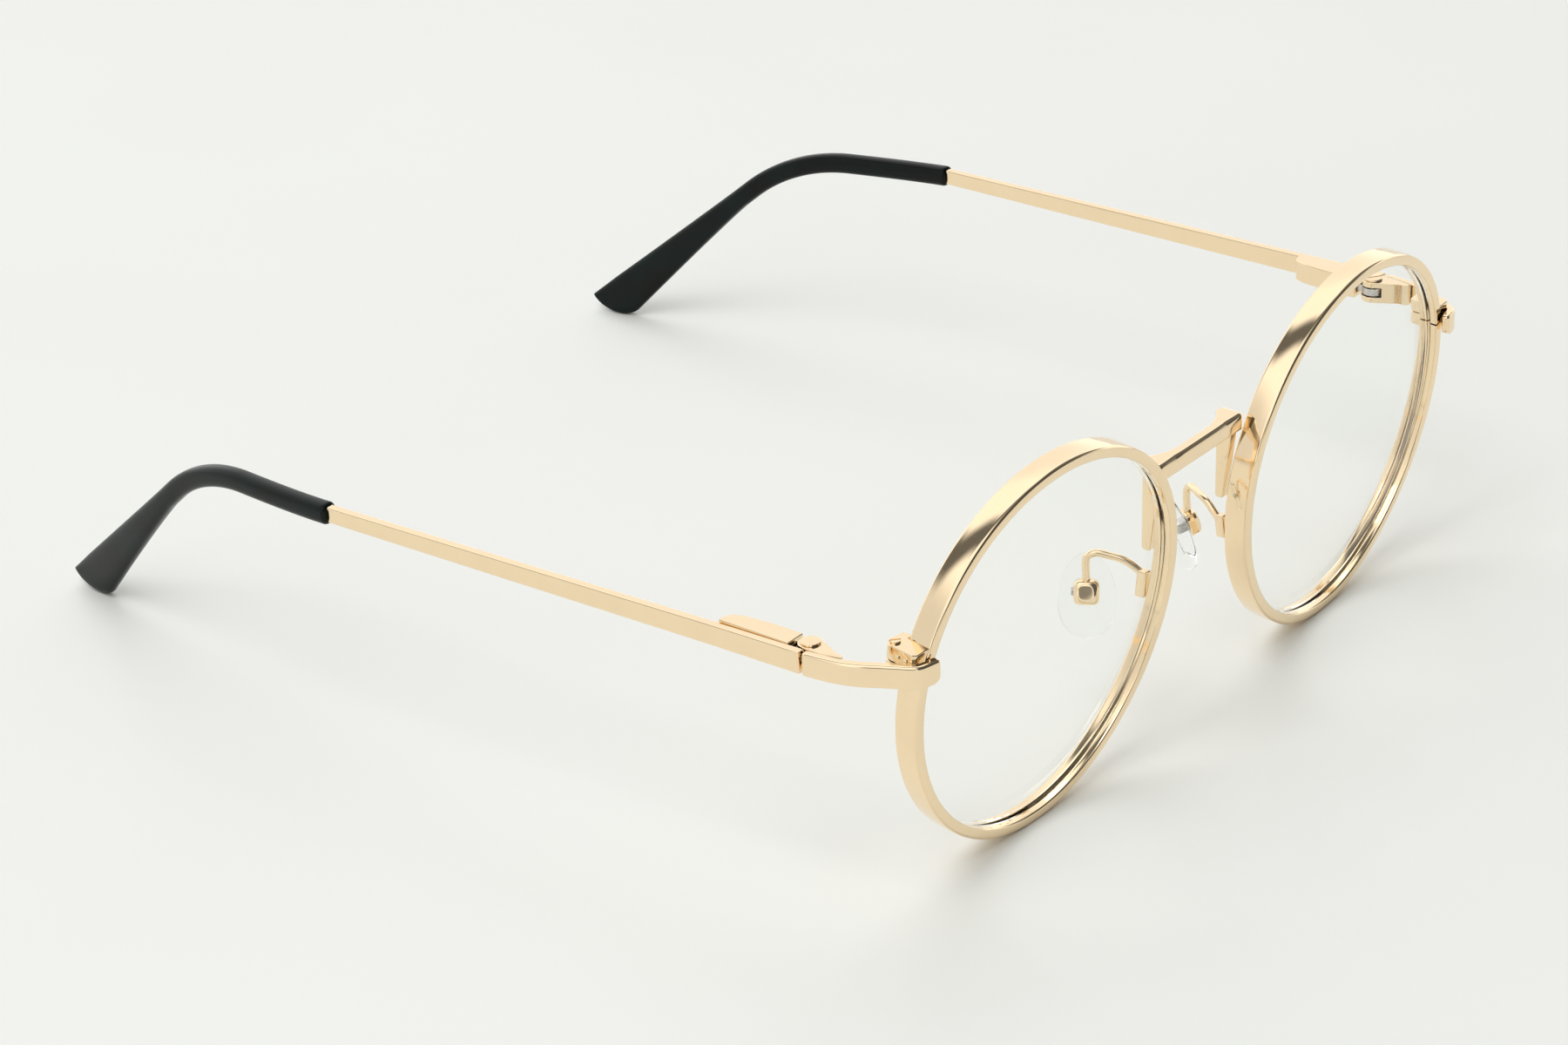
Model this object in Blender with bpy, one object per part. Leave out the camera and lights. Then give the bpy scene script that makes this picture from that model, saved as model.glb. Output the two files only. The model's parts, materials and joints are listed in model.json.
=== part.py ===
"""Round metal eyeglasses with spring hinges, clear lenses and black temple tips.

Metres, +Z up. The front faces -Y, the temples run to +Y, and the frame is mirrored about X = 0.
The glasses stand open on the bottoms of the rims and of the temple tips, which touch Z = 0.
Every piece of the left half (+X) is made first, and the right half (-X) is its mirror image.
"""
import bmesh
import bpy
from math import acos, atan2, cos, pi, radians, sin, sqrt, tan
from mathutils import Matrix, Vector

MM = 0.001

# Rims and lenses
RIM_RADIUS = 26.1 * MM          # outer radius of the rim wire's ring
RIM_SHAPE = 0.35 * MM           # how far the ring departs from a circle: fuller at the brow corners
RIM_THICKNESS = 1.5 * MM        # radial
RIM_DEPTH = 3.4 * MM            # front to back
RIM_CHAMFER = 0.25 * MM
GROOVE_DEPTH = 0.55 * MM
GROOVE_WIDTH = 1.1 * MM
RIM_SPLIT_ANGLE = radians(18.5)  # where the rim is cut for the lens, above its temporal point
RIM_SPLIT = 0.3 * MM
RIM_GAP = 16.7 * MM             # between the two rims
PANTO_TILT = radians(6.0)       # the bottoms of the rims lean towards the face
FACE_WRAP = radians(2.6)        # the outer ends of the rims lean towards the face
LENS_CLEARANCE = 0.2 * MM
LENS_THICKNESS = 1.9 * MM
LENS_FRONT_RADIUS = 88.0 * MM
LENS_BACK_RADIUS = 84.0 * MM

# Bridge
BRIDGE_RISE = 14.0 * MM         # top of the bar above the rims' centres
BRIDGE_HEIGHT = 2.4 * MM
BRIDGE_DEPTH = 1.6 * MM
BRIDGE_SETBACK = 3.1 * MM       # front of the bar behind the rim's front plane
LEG_WIDTH = 1.5 * MM
LEG_DEPTH = 2.2 * MM
LEG_DROP = 12.4 * MM            # bar's top to the foot of the leg
JOINT_GAP = 0.3 * MM            # left between pieces that are brazed or rest together

# Nose pads and their arms
PAD_HEIGHT = 11.2 * MM
PAD_WIDTH = 7.6 * MM
PAD_THICKNESS = 2.3 * MM
PAD_LOWER = 0.8 * MM            # middle of the pad below its peg
PAD_BACK_OFFSET = 11.6 * MM     # pad pivot behind the rim's front plane
PAD_SIDE_OFFSET = 3.4 * MM      # pad pivot outside the rim's nasal edge
PAD_DROP = 5.6 * MM             # pad pivot below the rims' centres
PAD_SPLAY = radians(32.0)
PAD_FLARE = radians(18.0)
PAD_CLEARANCE = 0.55 * MM       # between the pad and its box
ARM_WIRE_RADIUS = 0.5 * MM
ARM_FOOT_HEIGHT = 3.4 * MM
ARM_FOOT_DEPTH = 1.3 * MM
BOX_SIDE = 3.3 * MM
BOX_DEPTH = 1.7 * MM
BOX_WALL = 0.5 * MM
PEG_SIDE = 1.5 * MM
PEG_SUNK = 0.9 * MM             # how deep the peg sits in the pad
PAD_SCREW_RADIUS = 0.3 * MM

# Closing blocks, which clamp the cut rim around the lens
BLOCK_HALF_HEIGHT = 2.1 * MM
BLOCK_DEPTH = 5.0 * MM
BLOCK_REACH = 1.05 * MM         # outer face beyond the rim's outermost point
BLOCK_CHAMFER = 0.5 * MM        # on the front corner, beside the end piece's bend
BLOCK_FRONT_WALL = 0.3 * MM     # starts this far behind the rim's front plane
CLOSING_SCREW_INSET = 1.15 * MM
CLOSING_SCREW_RADIUS = 0.45 * MM
CLOSING_HEAD_RADIUS = 0.8 * MM
CLOSING_HEAD_HEIGHT = 0.4 * MM

# End pieces, from the rim's front round to the hinge
END_HEIGHT = 3.0 * MM
END_THICKNESS = 1.1 * MM
END_BELOW_SPLIT = 0.45 * MM     # middle of the strip below the cut in the rim
END_LAP = 2.0 * MM              # how far the strip laps over the rim's front
END_REACH = 6.4 * MM            # temple's outer face beyond the rim's outer edge
END_SETBACK = 13.1 * MM         # strip's rear end behind the rim's front plane at its outer edge

# Spring hinge
AXIS_BEHIND_END = 0.55 * MM     # hinge axis behind the strip's rear end
KNUCKLE_RADIUS = 1.6 * MM
KNUCKLE_CLEARANCE = 0.1 * MM    # between the knuckles and the bar that folds round them
KNUCKLE_PLATE = 0.8 * MM
KNUCKLE_LENGTH = 5.4 * MM       # axis to the front end of the knuckle's plate
EYE_HEIGHT = 1.0 * MM
HINGE_CLEARANCE = 0.2 * MM
HINGE_SCREW_RADIUS = 0.55 * MM
HINGE_HEAD_RADIUS = 1.3 * MM
HINGE_HEAD_HEIGHT = 0.45 * MM
SLOT_WIDTH = 0.32 * MM
SLOT_DEPTH = 0.2 * MM
SLIDER_WIDTH = 1.3 * MM
SLIDER_LENGTH = 4.2 * MM        # axis to the end of the slider's thick part
ROD_RADIUS = 0.3 * MM
ROD_LENGTH = 5.4 * MM
ROD_HEAD = 0.57 * MM            # radius and length of the head on the rod's end
SPRING_WIRE_RADIUS = 0.12 * MM
SPRING_TURNS = 6
STOP_THICKNESS = 0.7 * MM       # collar in the housing that the spring pushes against
HOUSING_GAP = 0.55 * MM         # between the knuckles' round end and the housing
HOUSING_LENGTH = 10.6 * MM
HOUSING_WALL = 0.45 * MM
FLEX_TRAVEL = 1.0 * MM          # room that the housing leaves for the rod's end

# Temples and tips
TEMPLE_HEIGHT = 2.95 * MM
TEMPLE_REAR_HEIGHT = 2.2 * MM
TEMPLE_THICKNESS = 1.2 * MM
BUTT_GAP = 0.3 * MM             # temple's front end behind the strip's rear end
TEMPLE_VISIBLE = 75.7 * MM      # metal from the butt to the mouth of the tip
TEMPLE_SLOPE = radians(1.05)
TEMPLE_SPLAY = radians(0.9)     # the bars open outwards behind their spring housings
SLEEVE_SLOPE = radians(3.8)     # the tip's first stretch runs down more steeply
SLEEVE_LENGTH = 26.6 * MM       # mouth of the tip to the corner of its bend
BEND_RADIUS = 28.0 * MM
DROP_ANGLE = radians(41.2)
TIP_INWARD = 11.6 * MM          # how far the tip's end curves in towards the head
TIP_THICKNESS = 2.6 * MM
TIP_HEIGHT = 2.9 * MM
PADDLE_HEIGHT = 6.3 * MM
PADDLE_SHARE = 0.85             # share of the widening that is on the lower side
PADDLE_LENGTH = 33.0 * MM
PADDLE_END = 5.0 * MM           # length of the rounded end
CORE_THICKNESS = 0.9 * MM
CORE_HEIGHT = 1.3 * MM
CORE_CLEARANCE = 0.2 * MM
CORE_STOPS_SHORT = 12.0 * MM    # core's end before the end of the tip

RIM_SEGMENTS = 60
ROUND_SEGMENTS = 16

# Places that follow from the sizes above
RIM_CENTRE = Vector((
    RIM_GAP / 2 + RIM_RADIUS,
    0.0,
    (RIM_RADIUS + RIM_SHAPE) * cos(PANTO_TILT) - RIM_CHAMFER * sin(PANTO_TILT),
))
RIM_FRAME = (
    Matrix.Translation(RIM_CENTRE)
    @ Matrix.Rotation(FACE_WRAP, 4, 'Z')
    @ Matrix.Rotation(PANTO_TILT, 4, 'X')
)
RIM_OUTER_X = RIM_CENTRE.x + RIM_RADIUS
RIM_INNER_X = RIM_CENTRE.x - RIM_RADIUS
SPLIT_V = RIM_RADIUS * sin(RIM_SPLIT_ANGLE)
MID_Z = RIM_CENTRE.z + SPLIT_V - END_BELOW_SPLIT
HINGE_STACK = 2 * KNUCKLE_PLATE + EYE_HEIGHT + 2 * HINGE_CLEARANCE
HOUSING_FRONT = KNUCKLE_RADIUS + HOUSING_GAP
AXIS_INSET = max(TEMPLE_THICKNESS, END_THICKNESS) + KNUCKLE_RADIUS + KNUCKLE_CLEARANCE
BESIDE_BAR = AXIS_INSET - TEMPLE_THICKNESS - HINGE_CLEARANCE
BESIDE_STRIP = AXIS_INSET - END_THICKNESS - JOINT_GAP
UP = Vector((0.0, 0.0, 1.0))


def rim_front_y(x, z):
    """Y of the rim's front plane at X and Z."""
    lean = (x - RIM_CENTRE.x) * tan(FACE_WRAP) - (z - RIM_CENTRE.z) * tan(PANTO_TILT)
    return RIM_CENTRE.y + lean


END_REAR_Y = rim_front_y(RIM_OUTER_X, MID_Z) + END_SETBACK
TEMPLE_X = RIM_OUTER_X + END_REACH
HINGE_AXIS = Vector((TEMPLE_X - AXIS_INSET, END_REAR_Y + AXIS_BEHIND_END, MID_Z))
BUTT_Y = END_REAR_Y + BUTT_GAP

PAD_PIVOT = Vector((
    RIM_INNER_X + PAD_SIDE_OFFSET,
    rim_front_y(RIM_INNER_X, RIM_CENTRE.z) + PAD_BACK_OFFSET,
    RIM_CENTRE.z - PAD_DROP,
))
# Pad axes: local X runs across the pad, local Y points to the nose, local Z runs up the pad
PAD_FRAME = (
    Matrix.Translation(PAD_PIVOT)
    @ Matrix.Rotation(pi / 2 - PAD_SPLAY, 4, 'Z')
    @ Matrix.Rotation(-PAD_FLARE, 4, 'X')
)

GOLD = ("polished_gold", (0.80, 0.62, 0.38, 1.0), 0.16, 1.0)
LENS = ("clear_lens", (0.94, 0.97, 0.96, 1.0), 0.03, 0.0)
SILICONE = ("clear_silicone", (0.90, 0.92, 0.90, 1.0), 0.22, 0.0)
BLACK = ("black_acetate", (0.012, 0.013, 0.011, 1.0), 0.2, 0.0)
STEEL = ("hinge_steel", (0.62, 0.60, 0.57, 1.0), 0.3, 1.0)


def clear_scene():
    for item in list(bpy.data.objects):
        bpy.data.objects.remove(item, do_unlink=True)


def material(spec):
    name, colour, roughness, metallic = spec
    found = bpy.data.materials.get(name)
    if found:
        return found
    made = bpy.data.materials.new(name)
    made.use_nodes = True
    shader = made.node_tree.nodes["Principled BSDF"]
    shader.inputs["Base Color"].default_value = colour
    shader.inputs["Roughness"].default_value = roughness
    shader.inputs["Metallic"].default_value = metallic
    made.diffuse_color = colour
    return made


def face_outwards(shape):
    """Make every face point out of the closed shape."""
    bmesh.ops.recalc_face_normals(shape, faces=shape.faces)
    if shape.calc_volume(signed=True) < 0:
        bmesh.ops.reverse_faces(shape, faces=shape.faces)


def loft(rings, ring_closed=False):
    """Skin rings of equal length one after another; open runs get a cap at each end."""
    shape = bmesh.new()
    rows = [[shape.verts.new(point) for point in ring] for ring in rings]
    count = len(rows[0])
    pairs = list(zip(rows, rows[1:]))
    if ring_closed:
        pairs.append((rows[-1], rows[0]))
    for here, there in pairs:
        for i in range(count):
            j = (i + 1) % count
            shape.faces.new((here[i], here[j], there[j], there[i]))
    if not ring_closed:
        shape.faces.new(rows[0])
        shape.faces.new(rows[-1])
    return shape


def prism(outline, low, high, frame=Matrix.Identity(4)):
    """Extrude a plan outline (x, y) from height low to high, in frame."""
    rings = [[frame @ Vector((x, y, z)) for x, y in outline] for z in (low, high)]
    return loft(rings)


def block(corner, opposite, frame=Matrix.Identity(4)):
    outline = [
        (corner[0], corner[1]),
        (opposite[0], corner[1]),
        (opposite[0], opposite[1]),
        (corner[0], opposite[1]),
    ]
    return prism(outline, corner[2], opposite[2], frame)


def turned(profile, frame, segments=ROUND_SEGMENTS):
    """Turn a profile of (radius, height) points about the frame's Z axis."""
    rings = []
    for radius, height in profile:
        ring = []
        for i in range(segments):
            angle = 2 * pi * i / segments
            ring.append(frame @ Vector((radius * cos(angle), radius * sin(angle), height)))
        rings.append(ring)
    return loft(rings)


def arc_points(centre, radius, start, end, steps):
    points = []
    for i in range(steps + 1):
        angle = start + (end - start) * i / steps
        points.append((centre[0] + radius * cos(angle), centre[1] + radius * sin(angle)))
    return points


def smooth(points, steps):
    """Points on a smooth curve through the given points."""
    knots = [Vector(point) for point in points]
    knots = [2 * knots[0] - knots[1]] + knots + [2 * knots[-1] - knots[-2]]
    curve = []
    for a, b, c, d in zip(knots, knots[1:], knots[2:], knots[3:]):
        for i in range(steps):
            t = i / steps
            curve.append(0.5 * (
                2 * b + (c - a) * t
                + (2 * a - 5 * b + 4 * c - d) * t ** 2
                + (3 * b - a - 3 * c + d) * t ** 3
            ))
    curve.append(knots[-2])
    return curve


def tube(route, radius, sides):
    """A round wire along a route of points."""
    rings = []
    normal = None
    for i, point in enumerate(route):
        ahead = route[min(i + 1, len(route) - 1)]
        behind = route[max(i - 1, 0)]
        along = (ahead - behind).normalized()
        if normal is None:
            normal = along.orthogonal().normalized()
        normal = (normal - along * normal.dot(along)).normalized()
        across = along.cross(normal)
        ring = []
        for k in range(sides):
            angle = 2 * pi * k / sides
            ring.append(point + radius * (normal * cos(angle) + across * sin(angle)))
        rings.append(ring)
    return loft(rings)


def add_part(name, shape, finish, pivot=Vector((0.0, 0.0, 0.0)), side=1, smooth_below=35.0):
    """Make a named object from a left-hand shape; side -1 mirrors it about X = 0."""
    centre = Vector((pivot.x * side, pivot.y, pivot.z))
    for vert in shape.verts:
        vert.co.x *= side
        vert.co -= centre
    face_outwards(shape)
    mesh = bpy.data.meshes.new(name)
    shape.to_mesh(mesh)
    shape.free()
    mesh.materials.append(material(finish))
    mesh.shade_smooth()
    mesh.set_sharp_from_angle(angle=radians(smooth_below))
    made = bpy.data.objects.new(name, mesh)
    made.location = centre
    bpy.context.scene.collection.objects.link(made)
    return made


def boolean(target, tool_name, shape, side, operation='DIFFERENCE'):
    """Cut a left-hand shape from a part, or join it on, through a hidden tool object."""
    tool = add_part(tool_name, shape, STEEL, side=side)
    tool.hide_render = True
    tool.display_type = 'WIRE'
    change = target.modifiers.new(tool_name, 'BOOLEAN')
    change.operation = operation
    change.object = tool
    change.solver = 'EXACT'


# ---------------------------------------------------------------- rims and lenses

def ring_point(angle, inset, depth):
    """A point on the left rim: inset inwards from its outer face, depth behind its front."""
    radius = RIM_RADIUS + RIM_SHAPE * sin(3 * angle) - inset
    return RIM_FRAME @ Vector((radius * cos(angle), depth, radius * sin(angle)))


def rim_shape():
    middle = RIM_DEPTH / 2
    half_groove = GROOVE_WIDTH / 2
    section = [
        (0.0, RIM_CHAMFER),
        (RIM_CHAMFER, 0.0),
        (RIM_THICKNESS - RIM_CHAMFER, 0.0),
        (RIM_THICKNESS, RIM_CHAMFER),
        (RIM_THICKNESS, middle - half_groove),
        (RIM_THICKNESS - GROOVE_DEPTH, middle),
        (RIM_THICKNESS, middle + half_groove),
        (RIM_THICKNESS, RIM_DEPTH - RIM_CHAMFER),
        (RIM_THICKNESS - RIM_CHAMFER, RIM_DEPTH),
        (RIM_CHAMFER, RIM_DEPTH),
        (0.0, RIM_DEPTH - RIM_CHAMFER),
    ]
    half_split = RIM_SPLIT / 2 / RIM_RADIUS
    start = RIM_SPLIT_ANGLE + half_split
    sweep = 2 * pi - 2 * half_split
    rings = []
    for i in range(RIM_SEGMENTS + 1):
        angle = start + sweep * i / RIM_SEGMENTS
        rings.append([ring_point(angle, inset, depth) for inset, depth in section])
    return loft(rings)


def lens_shape():
    """A curved disc with a bevelled edge that stands in the rim's groove."""
    middle = RIM_DEPTH / 2
    half_edge = LENS_THICKNESS / 2
    half_bevel = GROOVE_WIDTH / 2
    shoulder_inset = RIM_THICKNESS + LENS_CLEARANCE
    edge_inset = shoulder_inset - GROOVE_DEPTH

    def face_ring(share, curve_radius, depth):
        ring = []
        for i in range(RIM_SEGMENTS):
            angle = 2 * pi * i / RIM_SEGMENTS
            outer = RIM_RADIUS + RIM_SHAPE * sin(3 * angle)
            edge = outer - shoulder_inset
            crown = (edge ** 2 - (edge * share) ** 2) / (2 * curve_radius)
            ring.append(ring_point(angle, outer - edge * share, depth - crown))
        return ring

    def edge_ring(inset, depth):
        return [ring_point(2 * pi * i / RIM_SEGMENTS, inset, depth) for i in range(RIM_SEGMENTS)]

    rings = [face_ring(share, LENS_FRONT_RADIUS, middle - half_edge) for share in (0.3, 0.65, 1.0)]
    rings.append(edge_ring(shoulder_inset, middle - half_bevel))
    rings.append(edge_ring(edge_inset, middle))
    rings.append(edge_ring(shoulder_inset, middle + half_bevel))
    rings += [face_ring(share, LENS_BACK_RADIUS, middle + half_edge) for share in (1.0, 0.65, 0.3)]
    return loft(rings)


def make_rim_and_lens(side, prefix):
    add_part(prefix + "rim", rim_shape(), GOLD, side=side)
    add_part(prefix + "lens", lens_shape(), LENS, side=side, smooth_below=20.0)


# ---------------------------------------------------------------- closing blocks

def rim_side(v):
    """How far the rim's outer face stands from its centre at height v above the centre."""
    angle = atan2(v, sqrt(RIM_RADIUS ** 2 - v ** 2))
    return (RIM_RADIUS + RIM_SHAPE * sin(3 * angle)) * cos(angle)


BLOCK_OUTER = RIM_RADIUS + BLOCK_REACH
CLOSING_SCREW_U = BLOCK_OUTER - CLOSING_SCREW_INSET
CLOSING_SCREW_W = (RIM_DEPTH + BLOCK_DEPTH) / 2


def closing_block_shape(v_low, v_high):
    """One half of the block, wrapped round the outside and the back of the rim."""
    rings = []
    for v in (v_low, v_high):
        beside = rim_side(v) + JOINT_GAP
        behind = beside - JOINT_GAP - RIM_THICKNESS / 2
        plan = [
            (beside, BLOCK_FRONT_WALL),
            (BLOCK_OUTER - BLOCK_CHAMFER, BLOCK_FRONT_WALL),
            (BLOCK_OUTER, BLOCK_FRONT_WALL + BLOCK_CHAMFER),
            (BLOCK_OUTER, BLOCK_DEPTH),
            (behind, BLOCK_DEPTH),
            (behind, RIM_DEPTH + JOINT_GAP),
            (beside, RIM_DEPTH + JOINT_GAP),
        ]
        rings.append([RIM_FRAME @ Vector((u, w, v)) for u, w in plan])
    return loft(rings)


def make_closing_blocks(side, prefix):
    half_split = RIM_SPLIT / 2
    top = SPLIT_V + BLOCK_HALF_HEIGHT
    bottom = SPLIT_V - BLOCK_HALF_HEIGHT
    spans = {"upper": (SPLIT_V + half_split, top), "lower": (bottom, SPLIT_V - half_split)}
    axis = RIM_FRAME @ Matrix.Translation((CLOSING_SCREW_U, CLOSING_SCREW_W, 0.0))
    bore = CLOSING_SCREW_RADIUS + HINGE_CLEARANCE / 2
    for half, (low, high) in spans.items():
        piece = add_part(prefix + "closing_block_" + half, closing_block_shape(low, high),
                         GOLD, side=side)
        hole = turned([(bore, bottom - MM), (bore, top + MM)], axis)
        boolean(piece, prefix + half + "_bore", hole, side)
    head = top + HINGE_CLEARANCE
    profile = [
        (CLOSING_SCREW_RADIUS, bottom + HINGE_CLEARANCE),
        (CLOSING_SCREW_RADIUS, head),
        (CLOSING_HEAD_RADIUS, head),
        (CLOSING_HEAD_RADIUS, head + CLOSING_HEAD_HEIGHT),
    ]
    screw = add_part(prefix + "closing_screw", turned(profile, axis), STEEL, side=side)
    slot = block(
        (-CLOSING_HEAD_RADIUS * 2, -SLOT_WIDTH / 2, head + CLOSING_HEAD_HEIGHT - SLOT_DEPTH),
        (CLOSING_HEAD_RADIUS * 2, SLOT_WIDTH / 2, head + 2 * CLOSING_HEAD_HEIGHT),
        axis,
    )
    boolean(screw, prefix + "closing_slot", slot, side)


# ---------------------------------------------------------------- bridge

def make_bridge():
    top = RIM_CENTRE.z + BRIDGE_RISE
    front = rim_front_y(RIM_INNER_X, top) + BRIDGE_SETBACK
    leg_outer = RIM_INNER_X + RIM_THICKNESS - RIM_CHAMFER
    leg_inner = leg_outer - LEG_WIDTH
    leg_foot = top - LEG_DROP
    leg_front_low = rim_front_y(RIM_INNER_X, leg_foot) + RIM_DEPTH + 2 * JOINT_GAP
    leg_back = leg_front_low + LEG_DEPTH / 2
    stations = [
        (leg_outer, leg_back - front),
        (leg_inner, leg_back - front),
        (leg_inner * 0.78, BRIDGE_DEPTH * 1.35),
        (leg_inner * 0.5, BRIDGE_DEPTH),
    ]
    mirrored = [(-x, depth) for x, depth in stations]
    row = mirrored + [(0.0, BRIDGE_DEPTH * 0.95)] + stations[::-1]
    rings = []
    for x, depth in row:
        rings.append([
            Vector((x, front, top - BRIDGE_HEIGHT)),
            Vector((x, front + depth, top - BRIDGE_HEIGHT)),
            Vector((x, front + depth, top)),
            Vector((x, front, top)),
        ])
    bar = add_part("bridge", loft(rings), GOLD)
    for side, prefix in ((1, "left_"), (-1, "right_")):
        high = top - BRIDGE_HEIGHT / 2
        leg_front_high = rim_front_y(RIM_INNER_X, high) + RIM_DEPTH + JOINT_GAP
        corner = LEG_DEPTH / 3
        face = [
            (leg_front_low, leg_foot),
            (leg_back - corner, leg_foot),
            (leg_back, leg_foot + corner),
            (leg_back - JOINT_GAP / 2, high),
            (leg_front_high, high),
        ]
        inset = JOINT_GAP / 10
        rings = [[Vector((x, y, z)) for y, z in face] for x in (leg_inner + inset,
                                                                 leg_outer - inset)]
        boolean(bar, prefix + "bridge_leg", loft(rings), side, 'UNION')


# ---------------------------------------------------------------- nose pads

def pad_ring(grow, depth, count=24):
    """An oval, fuller at its lower end, in the pad's own axes."""
    ring = []
    for i in range(count):
        angle = 2 * pi * i / count
        width = PAD_WIDTH / 2 - grow
        height = PAD_HEIGHT / 2 - grow
        taper = 1.0 - 0.12 * sin(angle)
        ring.append(PAD_FRAME @ Vector((
            width * cos(angle) * taper,
            depth,
            height * sin(angle) - PAD_LOWER,
        )))
    return ring


def make_nose_pad(side, prefix):
    box_back = -PEG_SIDE / 2 - BOX_WALL - PAD_CLEARANCE / 2
    box_front = box_back + BOX_DEPTH
    pad_face = box_front + PAD_CLEARANCE
    rings = [
        pad_ring(1.5 * MM, pad_face),
        pad_ring(0.35 * MM, pad_face + 0.35 * MM),
        pad_ring(0.0, pad_face + PAD_THICKNESS * 0.45),
        pad_ring(0.5 * MM, pad_face + PAD_THICKNESS * 0.8),
        pad_ring(1.9 * MM, pad_face + PAD_THICKNESS),
    ]
    pad = add_part(prefix + "nose_pad", loft(rings), SILICONE, PAD_PIVOT, side, 60.0)
    pocket_half = PEG_SIDE / 2 + HINGE_CLEARANCE
    peg_end = pad_face + PEG_SUNK
    pocket = block((-pocket_half, pad_face - MM, -pocket_half),
                   (pocket_half, peg_end + HINGE_CLEARANCE, pocket_half), PAD_FRAME)
    boolean(pad, prefix + "pad_pocket", pocket, side)

    half = BOX_SIDE / 2
    box = add_part(prefix + "pad_box",
                   block((-half, box_back, -half), (half, box_front, half), PAD_FRAME),
                   GOLD, side=side)
    inner = half - BOX_WALL
    cavity = block((-inner, box_back + BOX_WALL, -inner), (inner, box_front + MM, inner),
                   PAD_FRAME)
    boolean(box, prefix + "box_cavity", cavity, side)

    peg_half = PEG_SIDE / 2
    peg = add_part(prefix + "pad_peg",
                   block((-peg_half, -peg_half, -peg_half), (peg_half, peg_end, peg_half),
                         PAD_FRAME),
                   STEEL, PAD_PIVOT, side)
    across = PAD_FRAME @ Matrix.Rotation(pi / 2, 4, 'Y')
    bore = PAD_SCREW_RADIUS + HINGE_CLEARANCE / 2
    for piece, tag in ((box, "box"), (peg, "peg")):
        hole = turned([(bore, -half - MM), (bore, half + MM)], across)
        boolean(piece, prefix + tag + "_bore", hole, side)
    head = half + HINGE_CLEARANCE / 2
    profile = [
        (PAD_SCREW_RADIUS, -half + HINGE_CLEARANCE),
        (PAD_SCREW_RADIUS, head),
        (PAD_SCREW_RADIUS * 2, head),
        (PAD_SCREW_RADIUS * 2, head + PAD_SCREW_RADIUS),
    ]
    add_part(prefix + "pad_screw", turned(profile, across, 12), STEEL, side=side)
    return box_back


def make_pad_arm(side, prefix, box_back):
    """A foot behind the rim, and a wire that hooks up, back and down to the box."""
    foot_top = RIM_CENTRE.z - 1.5 * MM
    foot_bottom = foot_top - ARM_FOOT_HEIGHT
    rings = []
    for z in (foot_bottom, foot_top):
        v = z - RIM_CENTRE.z
        outer = RIM_CENTRE.x - rim_side(v)
        low = rim_front_y(RIM_INNER_X, foot_bottom) + RIM_DEPTH + JOINT_GAP
        plan = [
            (outer + RIM_CHAMFER, low),
            (outer + RIM_THICKNESS, low),
            (outer + RIM_THICKNESS, low + ARM_FOOT_DEPTH),
            (outer + RIM_CHAMFER, low + ARM_FOOT_DEPTH),
        ]
        rings.append([Vector((x, y, z)) for x, y in plan])
    arm = add_part(prefix + "pad_arm", loft(rings), GOLD, side=side)
    foot_x = RIM_INNER_X + (RIM_CHAMFER + RIM_THICKNESS) / 2
    start = Vector((foot_x, low + ARM_FOOT_DEPTH / 2, foot_top - ARM_WIRE_RADIUS * 1.6))
    middle = box_back + BOX_DEPTH * 0.55
    end = PAD_FRAME @ Vector((0.0, middle, BOX_SIDE / 2 + JOINT_GAP / 2))
    reach = end - start
    route = [start]
    for aside, back, rise in ((0.04, 0.18, 0.7), (0.12, 0.36, 1.7), (0.3, 0.57, 2.5),
                              (0.62, 0.8, 2.6), (0.9, 0.97, 1.7), (1.0, 1.02, 0.4)):
        route.append(start + Vector((reach.x * aside, reach.y * back, rise * MM)))
    route += [(route[-1] + end) / 2, end]
    boolean(arm, prefix + "arm_wire", tube(smooth(route, 3), ARM_WIRE_RADIUS, 8), side, 'UNION')


# ---------------------------------------------------------------- end pieces

def end_piece_route():
    """Outer face of the strip in plan, from over the rim's front round to the hinge.

    Each point is a share of the reach beyond the rim and of the run back to the hinge.
    """
    lap_x = RIM_OUTER_X - END_LAP
    front = rim_front_y(lap_x, MID_Z + END_HEIGHT / 2) - JOINT_GAP - END_THICKNESS
    run = END_REAR_Y - front
    points = [(lap_x, front), (lap_x + 0.55 * END_LAP, front + 0.012 * run)]
    for out, back in ((0.14, 0.045), (0.28, 0.105), (0.42, 0.215), (0.58, 0.345), (0.74, 0.47),
                      (0.88, 0.63), (0.96, 0.81), (1.0, 1.0)):
        points.append((RIM_OUTER_X + out * END_REACH, front + back * run))
    return [Vector((x, y, 0.0)) for x, y in points]


def offset_route(route, distance):
    """The route moved to its right-hand side, seen from above."""
    moved = []
    for i, point in enumerate(route):
        ahead = route[min(i + 1, len(route) - 1)]
        behind = route[max(i - 1, 0)]
        along = (ahead - behind).normalized()
        moved.append(point + distance * UP.cross(along))
    return moved


def make_end_piece(side, prefix):
    outer = smooth(end_piece_route(), 2)
    inner = offset_route(outer, END_THICKNESS)
    low = UP * (MID_Z - END_HEIGHT / 2)
    high = low + UP * END_HEIGHT
    rings = [[a + low, b + low, b + high, a + high] for a, b in zip(outer, inner)]
    add_part(prefix + "end_piece", loft(rings), GOLD, side=side)


# ---------------------------------------------------------------- spring hinge

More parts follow.
